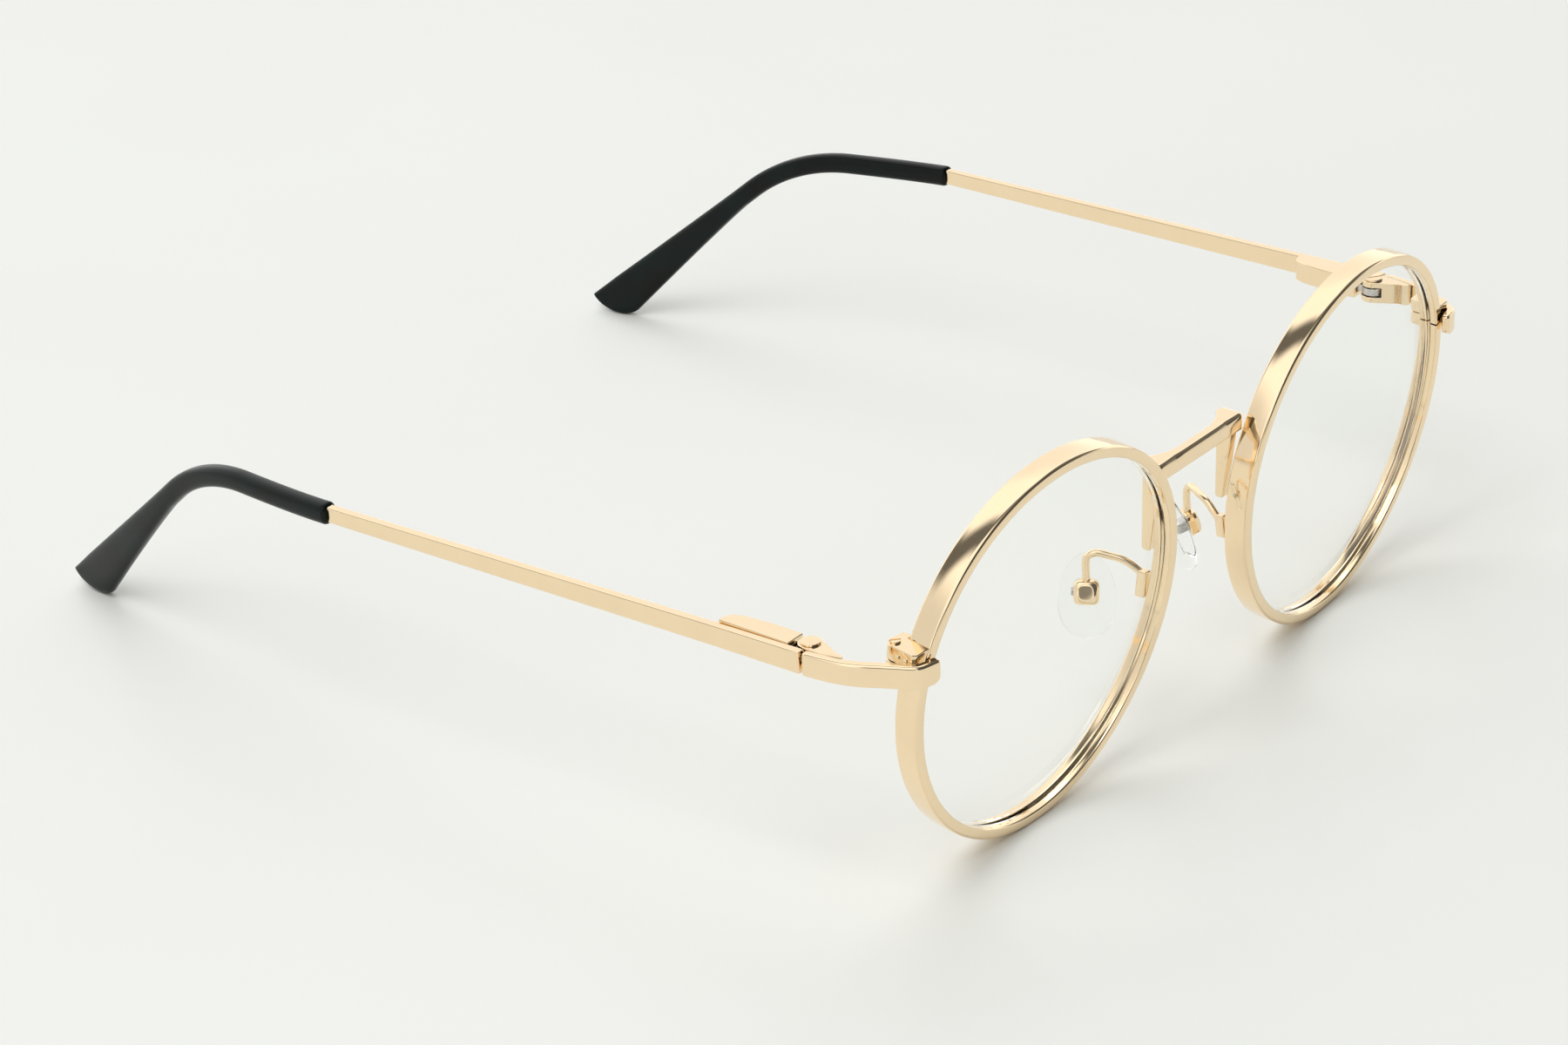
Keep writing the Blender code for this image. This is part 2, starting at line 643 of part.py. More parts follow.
def knuckle_plan():
    """Round eye about the axis, with a plate running forward beside the strip."""
    start = acos((BESIDE_BAR - JOINT_GAP / 2) / KNUCKLE_RADIUS)
    eye = arc_points((0.0, 0.0), KNUCKLE_RADIUS, start, radians(215), 12)
    front = -KNUCKLE_LENGTH
    return eye + [
        (BESIDE_STRIP - 1.5 * MM, front + 1.2 * MM),
        (BESIDE_STRIP - 1.3 * MM, front + 0.3 * MM),
        (BESIDE_STRIP - 0.9 * MM, front),
        (BESIDE_STRIP - 0.75 * MM, front),
        (BESIDE_STRIP - 0.1 * MM, -KNUCKLE_LENGTH * 0.5),
        (BESIDE_STRIP - 0.05 * MM, -KNUCKLE_RADIUS * 0.4),
    ]


def make_hinge_front(side, prefix):
    frame = Matrix.Translation(HINGE_AXIS)
    half = HINGE_STACK / 2
    body = add_part(prefix + "hinge_knuckles", prism(knuckle_plan(), -half, half, frame), GOLD,
                    side=side)
    room = EYE_HEIGHT / 2 + HINGE_CLEARANCE
    reach = KNUCKLE_RADIUS + HINGE_CLEARANCE
    pocket = block((-2 * KNUCKLE_LENGTH, -reach, -room), (KNUCKLE_LENGTH, 3 * reach, room),
                   frame)
    boolean(body, prefix + "knuckle_gap", pocket, side)
    bore = HINGE_SCREW_RADIUS + HINGE_CLEARANCE / 2
    hole = turned([(bore, -half - MM), (bore, half + MM)], frame)
    boolean(body, prefix + "knuckle_bore", hole, side)


def make_hinge_screw(side, prefix):
    frame = Matrix.Translation(HINGE_AXIS)
    half = HINGE_STACK / 2
    head = half + HINGE_CLEARANCE / 2
    edge = 0.12 * MM
    profile = [
        (HINGE_SCREW_RADIUS, -half),
        (HINGE_SCREW_RADIUS, head),
        (HINGE_HEAD_RADIUS, head),
        (HINGE_HEAD_RADIUS, head + HINGE_HEAD_HEIGHT - edge),
        (HINGE_HEAD_RADIUS - edge, head + HINGE_HEAD_HEIGHT),
    ]
    screw = add_part(prefix + "hinge_screw", turned(profile, frame, 20), GOLD, HINGE_AXIS, side)
    slot = block(
        (-2 * HINGE_HEAD_RADIUS, -SLOT_WIDTH / 2, head + HINGE_HEAD_HEIGHT - SLOT_DEPTH),
        (2 * HINGE_HEAD_RADIUS, SLOT_WIDTH / 2, head + 2 * HINGE_HEAD_HEIGHT),
        frame,
    )
    boolean(screw, prefix + "screw_slot", slot, side)


def slider_centre():
    """How far outside the axis the middle of the slider's bar and rod runs."""
    return (BESIDE_BAR - KNUCKLE_RADIUS) / 2


def make_slider(side, prefix):
    frame = Matrix.Translation(HINGE_AXIS)
    eye_radius = KNUCKLE_RADIUS - HINGE_CLEARANCE / 2
    middle = slider_centre()
    half = SLIDER_WIDTH / 2
    rise = sqrt(eye_radius ** 2 - (half + abs(middle)) ** 2)
    start = atan2(rise, middle - half)
    end = atan2(rise, middle + half) + 2 * pi
    eye = arc_points((0.0, 0.0), eye_radius, start, end, 14)
    plan = eye + [(middle + half, SLIDER_LENGTH), (middle - half, SLIDER_LENGTH)]
    slider = add_part(prefix + "hinge_slider",
                      prism(plan, -EYE_HEIGHT / 2, EYE_HEIGHT / 2, frame),
                      STEEL, HINGE_AXIS, side)
    bore = HINGE_SCREW_RADIUS + HINGE_CLEARANCE / 2
    hole = turned([(bore, -MM), (bore, MM)], frame)
    boolean(slider, prefix + "slider_bore", hole, side)
    along = frame @ Matrix.Translation((middle, 0.0, 0.0)) @ Matrix.Rotation(-pi / 2, 4, 'X')
    rod_end = SLIDER_LENGTH + ROD_LENGTH
    profile = [
        (ROD_RADIUS, SLIDER_LENGTH - ROD_RADIUS),
        (ROD_RADIUS, rod_end - ROD_HEAD),
        (ROD_HEAD, rod_end - ROD_HEAD),
        (ROD_HEAD, rod_end),
    ]
    boolean(slider, prefix + "slider_rod", turned(profile, along, 12), side, 'UNION')


def make_spring(side, prefix):
    """A collar fixed in the housing, and a coil round the rod from the collar to the rod's head."""
    middle = slider_centre()
    stop_front = SLIDER_LENGTH + HINGE_CLEARANCE
    stop_back = stop_front + STOP_THICKNESS
    frame = Matrix.Translation(HINGE_AXIS)
    half = SLIDER_WIDTH / 2
    high = EYE_HEIGHT / 2
    shape = block((middle - half, stop_front, -high), (middle + half, stop_back, high), frame)
    stop = add_part(prefix + "spring_stop", shape, STEEL, HINGE_AXIS, side)
    along = frame @ Matrix.Translation((middle, 0.0, 0.0)) @ Matrix.Rotation(-pi / 2, 4, 'X')
    bore = ROD_RADIUS + HINGE_CLEARANCE / 2
    hole = turned([(bore, stop_front - MM), (bore, stop_back + MM)], along, 12)
    boolean(stop, prefix + "stop_bore", hole, side)
    coil_radius = bore + SPRING_WIRE_RADIUS
    clear = SPRING_WIRE_RADIUS + HINGE_CLEARANCE / 2
    low = stop_back + clear
    high = SLIDER_LENGTH + ROD_LENGTH - ROD_HEAD - clear
    steps = SPRING_TURNS * 10
    route = []
    for i in range(steps + 1):
        angle = 2 * pi * SPRING_TURNS * i / steps
        route.append(HINGE_AXIS + Vector((
            middle + coil_radius * cos(angle),
            low + (high - low) * i / steps,
            coil_radius * sin(angle),
        )))
    add_part(prefix + "hinge_spring", tube(route, SPRING_WIRE_RADIUS, 5), STEEL, HINGE_AXIS, side)


def make_housing(side, prefix):
    frame = Matrix.Translation(HINGE_AXIS)
    middle = slider_centre()
    room = SLIDER_WIDTH / 2 + HINGE_CLEARANCE
    inner = middle - room - HOUSING_WALL
    rear = HOUSING_FRONT + HOUSING_LENGTH
    plan = [
        (BESIDE_BAR, HOUSING_FRONT),
        (BESIDE_BAR, rear),
        (middle + 0.1 * MM, rear),
        (middle - room * 0.7, rear - 0.7 * MM),
        (inner + 0.1 * MM, rear - 0.55 * HOUSING_LENGTH),
        (inner, HOUSING_FRONT),
    ]
    half = TEMPLE_HEIGHT / 2
    housing = add_part(prefix + "spring_housing", prism(plan, -half, half, frame), GOLD,
                       HINGE_AXIS, side)
    deep = SLIDER_LENGTH + ROD_LENGTH + FLEX_TRAVEL
    high = EYE_HEIGHT / 2 + HINGE_CLEARANCE
    cavity = block((middle - room, HOUSING_FRONT - MM, -high), (middle + room, deep, high), frame)
    boolean(housing, prefix + "housing_cavity", cavity, side)


# ---------------------------------------------------------------- temples and tips

MOUTH_Y = BUTT_Y + TEMPLE_VISIBLE
BEND_CORNER_Y = MOUTH_Y + SLEEVE_LENGTH


def temple_z(y):
    """Height of the middle of the metal bar at Y, in front of the tip's mouth."""
    return MID_Z - (y - BUTT_Y) * tan(TEMPLE_SLOPE)


def temple_middle_x(y):
    """X of the middle of the metal bar at Y: straight beside the housing, then splayed."""
    behind = max(0.0, y - HINGE_AXIS.y - HOUSING_FRONT - HOUSING_LENGTH)
    return TEMPLE_X - TEMPLE_THICKNESS / 2 + behind * tan(TEMPLE_SPLAY)


def end_reach(run):
    """How far the tip's rounded end reaches below and above its middle line, run from its end."""
    widening = PADDLE_HEIGHT - TIP_HEIGHT
    low = TIP_HEIGHT / 2 + widening * PADDLE_SHARE
    high = TIP_HEIGHT / 2 + widening * (1 - PADDLE_SHARE)
    over = 1 - run / PADDLE_END
    closing = max(sqrt(max(0.0, 1 - over ** 2)), 0.12)
    return (low + high) * closing - high, high


def end_height():
    """Height of the end of the middle line when the tip's lowest point touches Z = 0."""
    heights = []
    for i in range(41):
        run = PADDLE_END * i / 40
        heights.append(end_reach(run)[0] * cos(DROP_ANGLE) - run * sin(DROP_ANGLE))
    return max(heights)


def tip_route():
    """Middle line of the tip in the side view, as (y, z, slope), and how far along it is."""
    mouth = (MOUTH_Y, temple_z(MOUTH_Y))
    corner = (BEND_CORNER_Y, mouth[1] - SLEEVE_LENGTH * tan(SLEEVE_SLOPE))
    turn = DROP_ANGLE - SLEEVE_SLOPE
    tangent = BEND_RADIUS * tan(turn / 2)
    first = SLEEVE_LENGTH / cos(SLEEVE_SLOPE) - tangent
    leg = (corner[1] - end_height()) / sin(DROP_ANGLE) - tangent
    points = []
    for share in (0.0, 0.12, 0.34, 0.67):
        points.append((
            mouth[0] + first * share * cos(SLEEVE_SLOPE),
            mouth[1] - first * share * sin(SLEEVE_SLOPE),
            SLEEVE_SLOPE,
            first * share,
        ))
    start_y = mouth[0] + first * cos(SLEEVE_SLOPE)
    start_z = mouth[1] - first * sin(SLEEVE_SLOPE)
    for i in range(7):
        slope = SLEEVE_SLOPE + turn * i / 6
        points.append((
            start_y + BEND_RADIUS * (sin(slope) - sin(SLEEVE_SLOPE)),
            start_z - BEND_RADIUS * (cos(SLEEVE_SLOPE) - cos(slope)),
            slope,
            first + BEND_RADIUS * turn * i / 6,
        ))
    last_y, last_z, _, travelled = points[-1]
    body = leg - PADDLE_END
    for share in (0.3, 0.5, 0.68, 0.84, 1.0):
        points.append((
            last_y + body * share * cos(DROP_ANGLE),
            last_z - body * share * sin(DROP_ANGLE),
            DROP_ANGLE,
            travelled + body * share,
        ))
    for i in range(1, 7):
        run = body + PADDLE_END * sin(pi / 2 * i / 6)
        points.append((
            last_y + run * cos(DROP_ANGLE),
            last_z - run * sin(DROP_ANGLE),
            DROP_ANGLE,
            travelled + run,
        ))
    return points


TIP_ROUTE = tip_route()
TIP_LENGTH = TIP_ROUTE[-1][3]


def tip_x(y):
    """X of the tip's middle: it curves in towards the head from its mouth on."""
    reach = TIP_ROUTE[-1][0] - MOUTH_Y
    share = max(0.0, (y - MOUTH_Y) / reach)
    return temple_middle_x(y) - TIP_INWARD * share ** 1.3


def oval(count, half_x, low, high, power):
    """A soft rectangle, half_x to each side, from -low to +high."""
    middle = (high - low) / 2
    half_z = (high + low) / 2
    ring = []
    for i in range(count):
        angle = 2 * pi * i / count
        c, s = cos(angle), sin(angle)
        across = half_x * (1 if c > 0 else -1) * abs(c) ** power
        ring.append((across, middle + half_z * (1 if s > 0 else -1) * abs(s) ** power))
    return ring


def tip_ring(step, half_x, low, high, count=12, power=0.7):
    y, z, slope, _ = step
    across = Vector((1.0, 0.0, 0.0))
    upward = Vector((0.0, sin(slope), cos(slope)))
    centre = Vector((tip_x(y), y, z))
    return [centre + across * a + upward * b for a, b in oval(count, half_x, low, high, power)]


def tip_reach(travelled):
    """How far the tip reaches below and above its middle line at a distance along it."""
    before_end = TIP_LENGTH - travelled
    if before_end < PADDLE_END:
        return end_reach(before_end)
    share = (travelled - (TIP_LENGTH - PADDLE_LENGTH)) / (PADDLE_LENGTH - PADDLE_END)
    widening = (PADDLE_HEIGHT - TIP_HEIGHT) * min(1.0, max(0.0, share)) ** 1.15
    half = TIP_HEIGHT / 2
    return half + widening * PADDLE_SHARE, half + widening * (1 - PADDLE_SHARE)


def make_tip(side, prefix):
    thick = TIP_THICKNESS / 2
    hole_x = CORE_THICKNESS / 2 + CORE_CLEARANCE
    hole_z = CORE_HEIGHT / 2 + CORE_CLEARANCE
    hole_end = TIP_LENGTH - CORE_STOPS_SHORT + CORE_CLEARANCE
    bored = [step for step in TIP_ROUTE if step[3] <= hole_end]
    rings = [tip_ring(step, hole_x, hole_z, hole_z) for step in reversed(bored)]
    mouth = TIP_ROUTE[0]
    rings.append(tip_ring(mouth, thick * 0.8, TIP_HEIGHT * 0.42, TIP_HEIGHT * 0.42))
    for step in TIP_ROUTE[1:]:
        low, high = tip_reach(step[3])
        widened = min(1.0, max(0.0, (low + high - TIP_HEIGHT) / (PADDLE_HEIGHT - TIP_HEIGHT)))
        rings.append(tip_ring(step, thick * (1.0 - 0.2 * widened), low, high))
    add_part(prefix + "temple_tip", loft(rings), BLACK, HINGE_AXIS, side, 50.0)


def make_temple(side, prefix):
    """Flat metal bar, then a thinner core that runs on inside the tip."""
    rings = []
    thick = TEMPLE_THICKNESS / 2
    mouth_gap = JOINT_GAP
    straight = (HINGE_AXIS.y + HOUSING_FRONT + HOUSING_LENGTH - BUTT_Y) / TEMPLE_VISIBLE
    for share in (0.0, straight, 0.45, 0.75, 1.0):
        y = BUTT_Y + (TEMPLE_VISIBLE - mouth_gap) * share
        half = (TEMPLE_HEIGHT + (TEMPLE_REAR_HEIGHT - TEMPLE_HEIGHT) * share) / 2
        middle = temple_middle_x(y)
        z = temple_z(y)
        edge = 0.15 * MM
        plan = [
            (thick - edge, -half), (thick, edge - half), (thick, half - edge),
            (thick - edge, half), (edge - thick, half), (-thick, half - edge),
            (-thick, edge - half), (edge - thick, -half),
        ]
        rings.append([Vector((middle + a, y, z + b)) for a, b in plan])
    core_x = CORE_THICKNESS / 2
    core_z = CORE_HEIGHT / 2
    corner = 0.1 * MM
    core = [
        (core_x - corner, -core_z), (core_x, corner - core_z), (core_x, core_z - corner),
        (core_x - corner, core_z), (corner - core_x, core_z), (-core_x, core_z - corner),
        (-core_x, corner - core_z), (corner - core_x, -core_z),
    ]
    last_y = BUTT_Y + TEMPLE_VISIBLE - mouth_gap
    rings.append([Vector((middle + a, last_y, temple_z(last_y) + b)) for a, b in core])
    core_end = TIP_LENGTH - CORE_STOPS_SHORT - CORE_CLEARANCE
    for step in TIP_ROUTE:
        if step[3] > core_end:
            break
        y, z, slope, _ = step
        upward = Vector((0.0, sin(slope), cos(slope)))
        centre = Vector((tip_x(y), y, z))
        rings.append([centre + Vector((a, 0.0, 0.0)) + upward * b for a, b in core])
    add_part(prefix + "temple_bar", loft(rings), GOLD, HINGE_AXIS, side)


def stand_on_origin():
    """Put the middle of the footprint over the origin, with the feet on Z = 0."""
    bpy.context.view_layer.update()
    graph = bpy.context.evaluated_depsgraph_get()
    points = []
    for item in bpy.data.objects:
        if item.hide_render:
            continue
        shape = item.evaluated_get(graph).to_mesh()
        points += [item.matrix_world @ vert.co for vert in shape.vertices]
    low_y = min(point.y for point in points)
    high_y = max(point.y for point in points)
    shift = Vector((0.0, -(low_y + high_y) / 2, -min(point.z for point in points)))
    for item in bpy.data.objects:
        item.location += shift
    axis = HINGE_AXIS + shift
    pivot = PAD_PIVOT + shift
    print("hinge axis", [round(v / MM, 3) for v in axis])
    print("pad pivot", [round(v / MM, 3) for v in pivot])
    print("shift", [round(v / MM, 3) for v in shift])


def main():
    clear_scene()
    make_bridge()
    for side, prefix in ((1, "left_"), (-1, "right_")):
        make_rim_and_lens(side, prefix)
        make_closing_blocks(side, prefix)
        box_back = make_nose_pad(side, prefix)
        make_pad_arm(side, prefix, box_back)
        make_end_piece(side, prefix)
        make_hinge_front(side, prefix)
        make_hinge_screw(side, prefix)
        make_slider(side, prefix)
        make_spring(side, prefix)
        make_housing(side, prefix)
        make_temple(side, prefix)
        make_tip(side, prefix)
    stand_on_origin()


main()
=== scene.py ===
"""Finished look of a pair of round metal eyeglasses with spring hinges.

Metres, +Z up. The front faces -Y, the temples run to +Y, and the frame is mirrored about X = 0.
Each piece is shaped for the wearer's left side (+X) and mirrored for the right side.
"""
import json
from math import acos, atan2, cos, pi, radians, sin, sqrt, tan

import bmesh
import bpy
from bpy.props import FloatProperty, FloatVectorProperty, PointerProperty
from mathutils import Matrix, Vector


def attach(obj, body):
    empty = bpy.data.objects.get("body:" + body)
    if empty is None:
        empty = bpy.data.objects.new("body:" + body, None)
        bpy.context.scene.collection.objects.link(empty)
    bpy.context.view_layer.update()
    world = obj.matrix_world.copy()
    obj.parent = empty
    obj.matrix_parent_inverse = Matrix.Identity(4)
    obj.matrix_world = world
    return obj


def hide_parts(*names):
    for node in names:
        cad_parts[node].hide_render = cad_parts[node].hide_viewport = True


bl_info = {
    "name": "Round Metal Eyeglasses",
    "version": (1, 0, 0),
    "blender": (4, 5, 0),
    "location": "View3D > Sidebar > Eyeglasses",
    "description": "Models round metal eyeglasses with spring hinges around their packed frame",
    "category": "Object",
}

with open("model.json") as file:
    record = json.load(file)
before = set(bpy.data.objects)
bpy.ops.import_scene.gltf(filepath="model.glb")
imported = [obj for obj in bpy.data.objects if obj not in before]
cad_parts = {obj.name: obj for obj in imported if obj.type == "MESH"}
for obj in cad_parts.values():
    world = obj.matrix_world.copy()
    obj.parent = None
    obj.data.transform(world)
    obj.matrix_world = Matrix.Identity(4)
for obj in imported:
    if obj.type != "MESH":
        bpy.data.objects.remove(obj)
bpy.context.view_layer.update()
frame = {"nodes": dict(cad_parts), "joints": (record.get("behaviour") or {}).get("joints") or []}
JOINTS = {joint["name"]: joint for joint in frame["joints"]}

MM = 0.001
UP = Vector((0.0, 0.0, 1.0))
SIDES = ((1, "left_"), (-1, "right_"))

BUTT_SPACE = 0.3 * MM           # from the end piece to where the bar's length is counted from
PEG_PLAY = 0.275 * MM           # between the peg and the back wall of its box


# ---------------------------------------------------------------- sizes and colours

def length(name, millimetres, description):
    return FloatProperty(name=name, description=description, default=millimetres * MM,
                         min=0.0, unit='LENGTH', precision=5)


def angle(name, degrees, description):
    return FloatProperty(name=name, description=description, default=radians(degrees),
                         subtype='ANGLE')


def colour(name, rgb, description):
    return FloatVectorProperty(name=name, description=description, default=rgb, size=3,
                               min=0.0, max=1.0, subtype='COLOR')


def share(name, value, description):
    return FloatProperty(name=name, description=description, default=value, min=0.0, max=1.0)


class RimSizes(bpy.types.PropertyGroup):
    """Sizes of the rims and lenses."""

    radius: length("Rim radius", 26.1, "Outer radius of the rim's ring")
    fullness: length("Fullness", 0.35, "How far the ring bulges from a circle at its brow corners")
    thickness: length("Rim thickness", 1.5, "Rim wire, measured in the plane of the lens")
    depth: length("Rim depth", 3.4, "Rim wire, front to back")
    crown: length("Crown", 0.09, "How far the rim's outer face bulges at its middle")
    edge: length("Rim edge", 0.45, "Size of the rounded edge between the front and the outer face")
    groove_depth: length("Groove depth", 0.55, "Depth of the groove that holds the lens")
    groove_width: length("Groove width", 1.1, "Width of the groove that holds the lens")
    gap: length("Gap between rims", 16.7, "Gap between the two rims across the nose")
    split: length("Rim cut", 0.3, "Width of the cut that lets the lens in")
    split_angle: angle("Cut angle", 18.5, "Where the rim is cut, above its outermost point")
    tilt: angle("Tilt", 6.0, "How far the bottoms of the rims lean towards the face")
    wrap: angle("Wrap", 2.6, "How far the outer ends of the rims lean towards the face")
    lens_gap: length("Lens gap", 0.15, "Gap between the lens and its groove")
    lens_thickness: length("Lens thickness", 1.9, "Thickness of the lens")
    front_curve: length("Front curve", 88.0, "Radius of the lens's front surface")
    back_curve: length("Back curve", 84.0, "Radius of the lens's back surface")


class BlockSizes(bpy.types.PropertyGroup):
    """Sizes of the blocks that clamp the cut rim."""

    half_height: length("Half height", 2.1, "Half the height of the pair of blocks")
    depth: length("Depth", 5.0, "Back of the block behind the rim's front")
    reach: length("Reach", 1.05, "Outer face beyond the rim's outermost point")
    front_wall: length("Front wall", 0.3, "Front of the block behind the rim's front")
    chamfer: length("Chamfer", 0.5, "Chamfer on the front corner, beside the end piece")
    screw_inset: length("Screw inset", 1.15, "Screw's axis inside the block's outer face")
    screw_head: length("Screw head", 0.72, "Radius of the closing screw's head")
    pin_radius: length("Pin radius", 0.32, "Radius of the two domed pins in the outer face")


class BridgeSizes(bpy.types.PropertyGroup):
    """Sizes of the bridge."""

    rise: length("Rise", 14.0, "Top of the bar above the centres of the rims")
    height: length("Height", 2.4, "Height of the bar")
    depth: length("Depth", 1.6, "Depth of the bar at its middle")
    setback: length("Setback", 3.1, "Front of the bar behind the rim's front")
    brow: length("Brow edge", 1.15, "Size of the rounded edge along the front of the bar's top")
    leg_width: length("Leg width", 1.5, "Width of the legs behind the rims")
    leg_depth: length("Leg depth", 1.1, "Depth of the legs at their feet")
    leg_drop: length("Leg drop", 12.4, "Top of the bar to the feet of the legs")


class PadSizes(bpy.types.PropertyGroup):
    """Sizes of the nose pads and of what carries them."""

    height: length("Pad height", 11.2, "Height of the nose pad")
    lower: length("Pad lower", 0.8, "Middle of the pad below its peg")
    width: length("Pad width", 7.6, "Width of the nose pad")
    thickness: length("Pad thickness", 2.3, "Thickness of the nose pad")
    clearance: length("Clearance", 0.4, "Gap between the pad and its box")
    splay: angle("Splay", 32.0, "How far the pads open towards the face")
    flare: angle("Flare", 18.0, "How far the pads open towards their lower ends")
    wire_radius: length("Wire radius", 0.5, "Radius of the wire of the pad arm")
    foot_height: length("Foot height", 3.4, "Height of the arm's foot behind the rim")
    foot_depth: length("Foot depth", 1.3, "Depth of the arm's foot")
    foot_drop: length("Foot drop", 1.5, "Top of the arm's foot below the centre of the rim")
    box_side: length("Box side", 3.3, "Side of the square box that holds the pad's peg")
    box_depth: length("Box depth", 1.7, "Depth of that box")
    box_wall: length("Box wall", 0.5, "Wall of that box")
    peg_side: length("Peg side", 1.5, "Side of the pad's square peg")
    screw_radius: length("Screw radius", 0.3, "Radius of the screw through box and peg")


class EndSizes(bpy.types.PropertyGroup):
    """Sizes of the end pieces, from the rim's front round to the hinge."""

    height: length("Height", 3.0, "Height of the strip")
    thickness: length("Thickness", 1.1, "Thickness of the strip")
    below_split: length("Below the cut", 0.45, "Middle of the strip below the cut in the rim")
    lap: length("Lap", 2.0, "How far the strip laps over the rim's front")
    reach: length("Reach", 6.4, "Outer face of the temple beyond the rim")
    setback: length("Setback", 13.1, "Rear end of the strip behind the rim's front")
    corner: length("Corner", 0.6, "Chamfer on the lower corner over the rim")
    edge: length("Edge", 0.5, "Size of the strip's rounded edges")


class HingeSizes(bpy.types.PropertyGroup):
    """Sizes of the spring hinge."""

    knuckle_radius: length("Knuckle radius", 1.6, "Radius of the round end of the knuckles")
    knuckle_plate: length("Knuckle plate", 0.8, "Height of each of the two knuckles")
    knuckle_length: length("Knuckle length", 5.4, "Axis to the front end of the knuckles")
    eye_height: length("Eye height", 1.0, "Height of the slider's eye between the knuckles")
    clearance: length("Clearance", 0.2, "Running clearance of the hinge")
    behind_end: length("Axis setback", 0.55, "Hinge axis behind the strip's rear end")
    head_radius: length("Head radius", 1.3, "Radius of the hinge screw's head")
    head_height: length("Head height", 0.26, "Height of the hinge screw's head")
    shank_radius: length("Shank radius", 0.55, "Radius of the hinge screw's shank")
    slot_width: length("Slot width", 0.26, "Width of the screwdriver slots")
    slot_depth: length("Slot depth", 0.16, "Depth of the screwdriver slots")
    housing_gap: length("Housing gap", 0.55, "Between the knuckles and the housing")
    housing_length: length("Housing length", 10.6, "Length of the spring housing")
    housing_wall: length("Housing wall", 0.45, "Wall of the spring housing")
    slider_width: length("Slider width", 1.3, "Width of the slider")


class TempleSizes(bpy.types.PropertyGroup):
    """Sizes of the temple bars and their tips."""

    height: length("Bar height", 2.95, "Height of the bar at the hinge")
    rear_height: length("Rear height", 2.2, "Height of the bar at the tip")
    thickness: length("Bar thickness", 1.2, "Thickness of the bar")
    butt_gap: length("Butt gap", 0.2, "Gap between the bar and the end piece")
    visible: length("Bar length", 75.7, "Bar from the hinge to the mouth of the tip")
    slope: angle("Slope", 1.05, "How far the bar runs down")
    splay: angle("Splay", 0.9, "How far the bar opens outwards behind its spring housing")
    sleeve_slope: angle("Sleeve slope", 3.8, "How far the first stretch of the tip runs down")
    sleeve_length: length("Sleeve length", 26.6, "Mouth of the tip to the corner of its bend")
    bend_radius: length("Bend radius", 28.0, "Radius of the tip's bend")
    drop: angle("Drop", 41.2, "How far the tip's end runs down")
    inward: length("Inward", 11.6, "How far the tip's end curves in towards the head")
    tip_thickness: length("Tip thickness", 2.6, "Thickness of the tip")
    tip_height: length("Tip height", 2.9, "Height of the tip at its mouth")
    paddle_height: length("Paddle height", 6.3, "Height of the tip near its end")
    paddle_share: share("Paddle share", 0.85, "Share of the widening on the lower side")
    paddle_length: length("Paddle length", 33.0, "Stretch over which the tip widens")
    paddle_end: length("Paddle end", 5.0, "Length of the rounded end")
    core_thickness: length("Core thickness", 0.9, "Thickness of the metal core in the tip")
    core_height: length("Core height", 1.3, "Height of the metal core in the tip")
    core_short: length("Core stops short", 12.0, "Core's end before the end of the tip")


class Finishes(bpy.types.PropertyGroup):
    """Colours and gloss of the finishes."""

    gold: colour("Gold", (0.945, 0.76, 0.51), "Colour of the polished plating")
    gold_worn: colour("Worn gold", (0.93, 0.70, 0.475), "Colour where the plating is thin")
    gold_gloss: share("Gold roughness", 0.05, "Roughness of the freshly polished plating")
    steel: colour("Steel", (0.63, 0.61, 0.58), "Colour of the turned steel")
    black: colour("Tip black", (0.005, 0.006, 0.0055), "Colour of the temple tips")
    black_deep: colour("Tip green", (0.004, 0.013, 0.011), "Darker green within the temple tips")
    silicone: colour("Silicone", (0.975, 0.985, 0.978), "Colour of the nose pads")
    lens: colour("Lens", (0.985, 0.993, 0.988), "Colour of the lenses")
    floor: colour("Floor", (0.89, 0.898, 0.868), "Colour of the table")


# ---------------------------------------------------------------- places

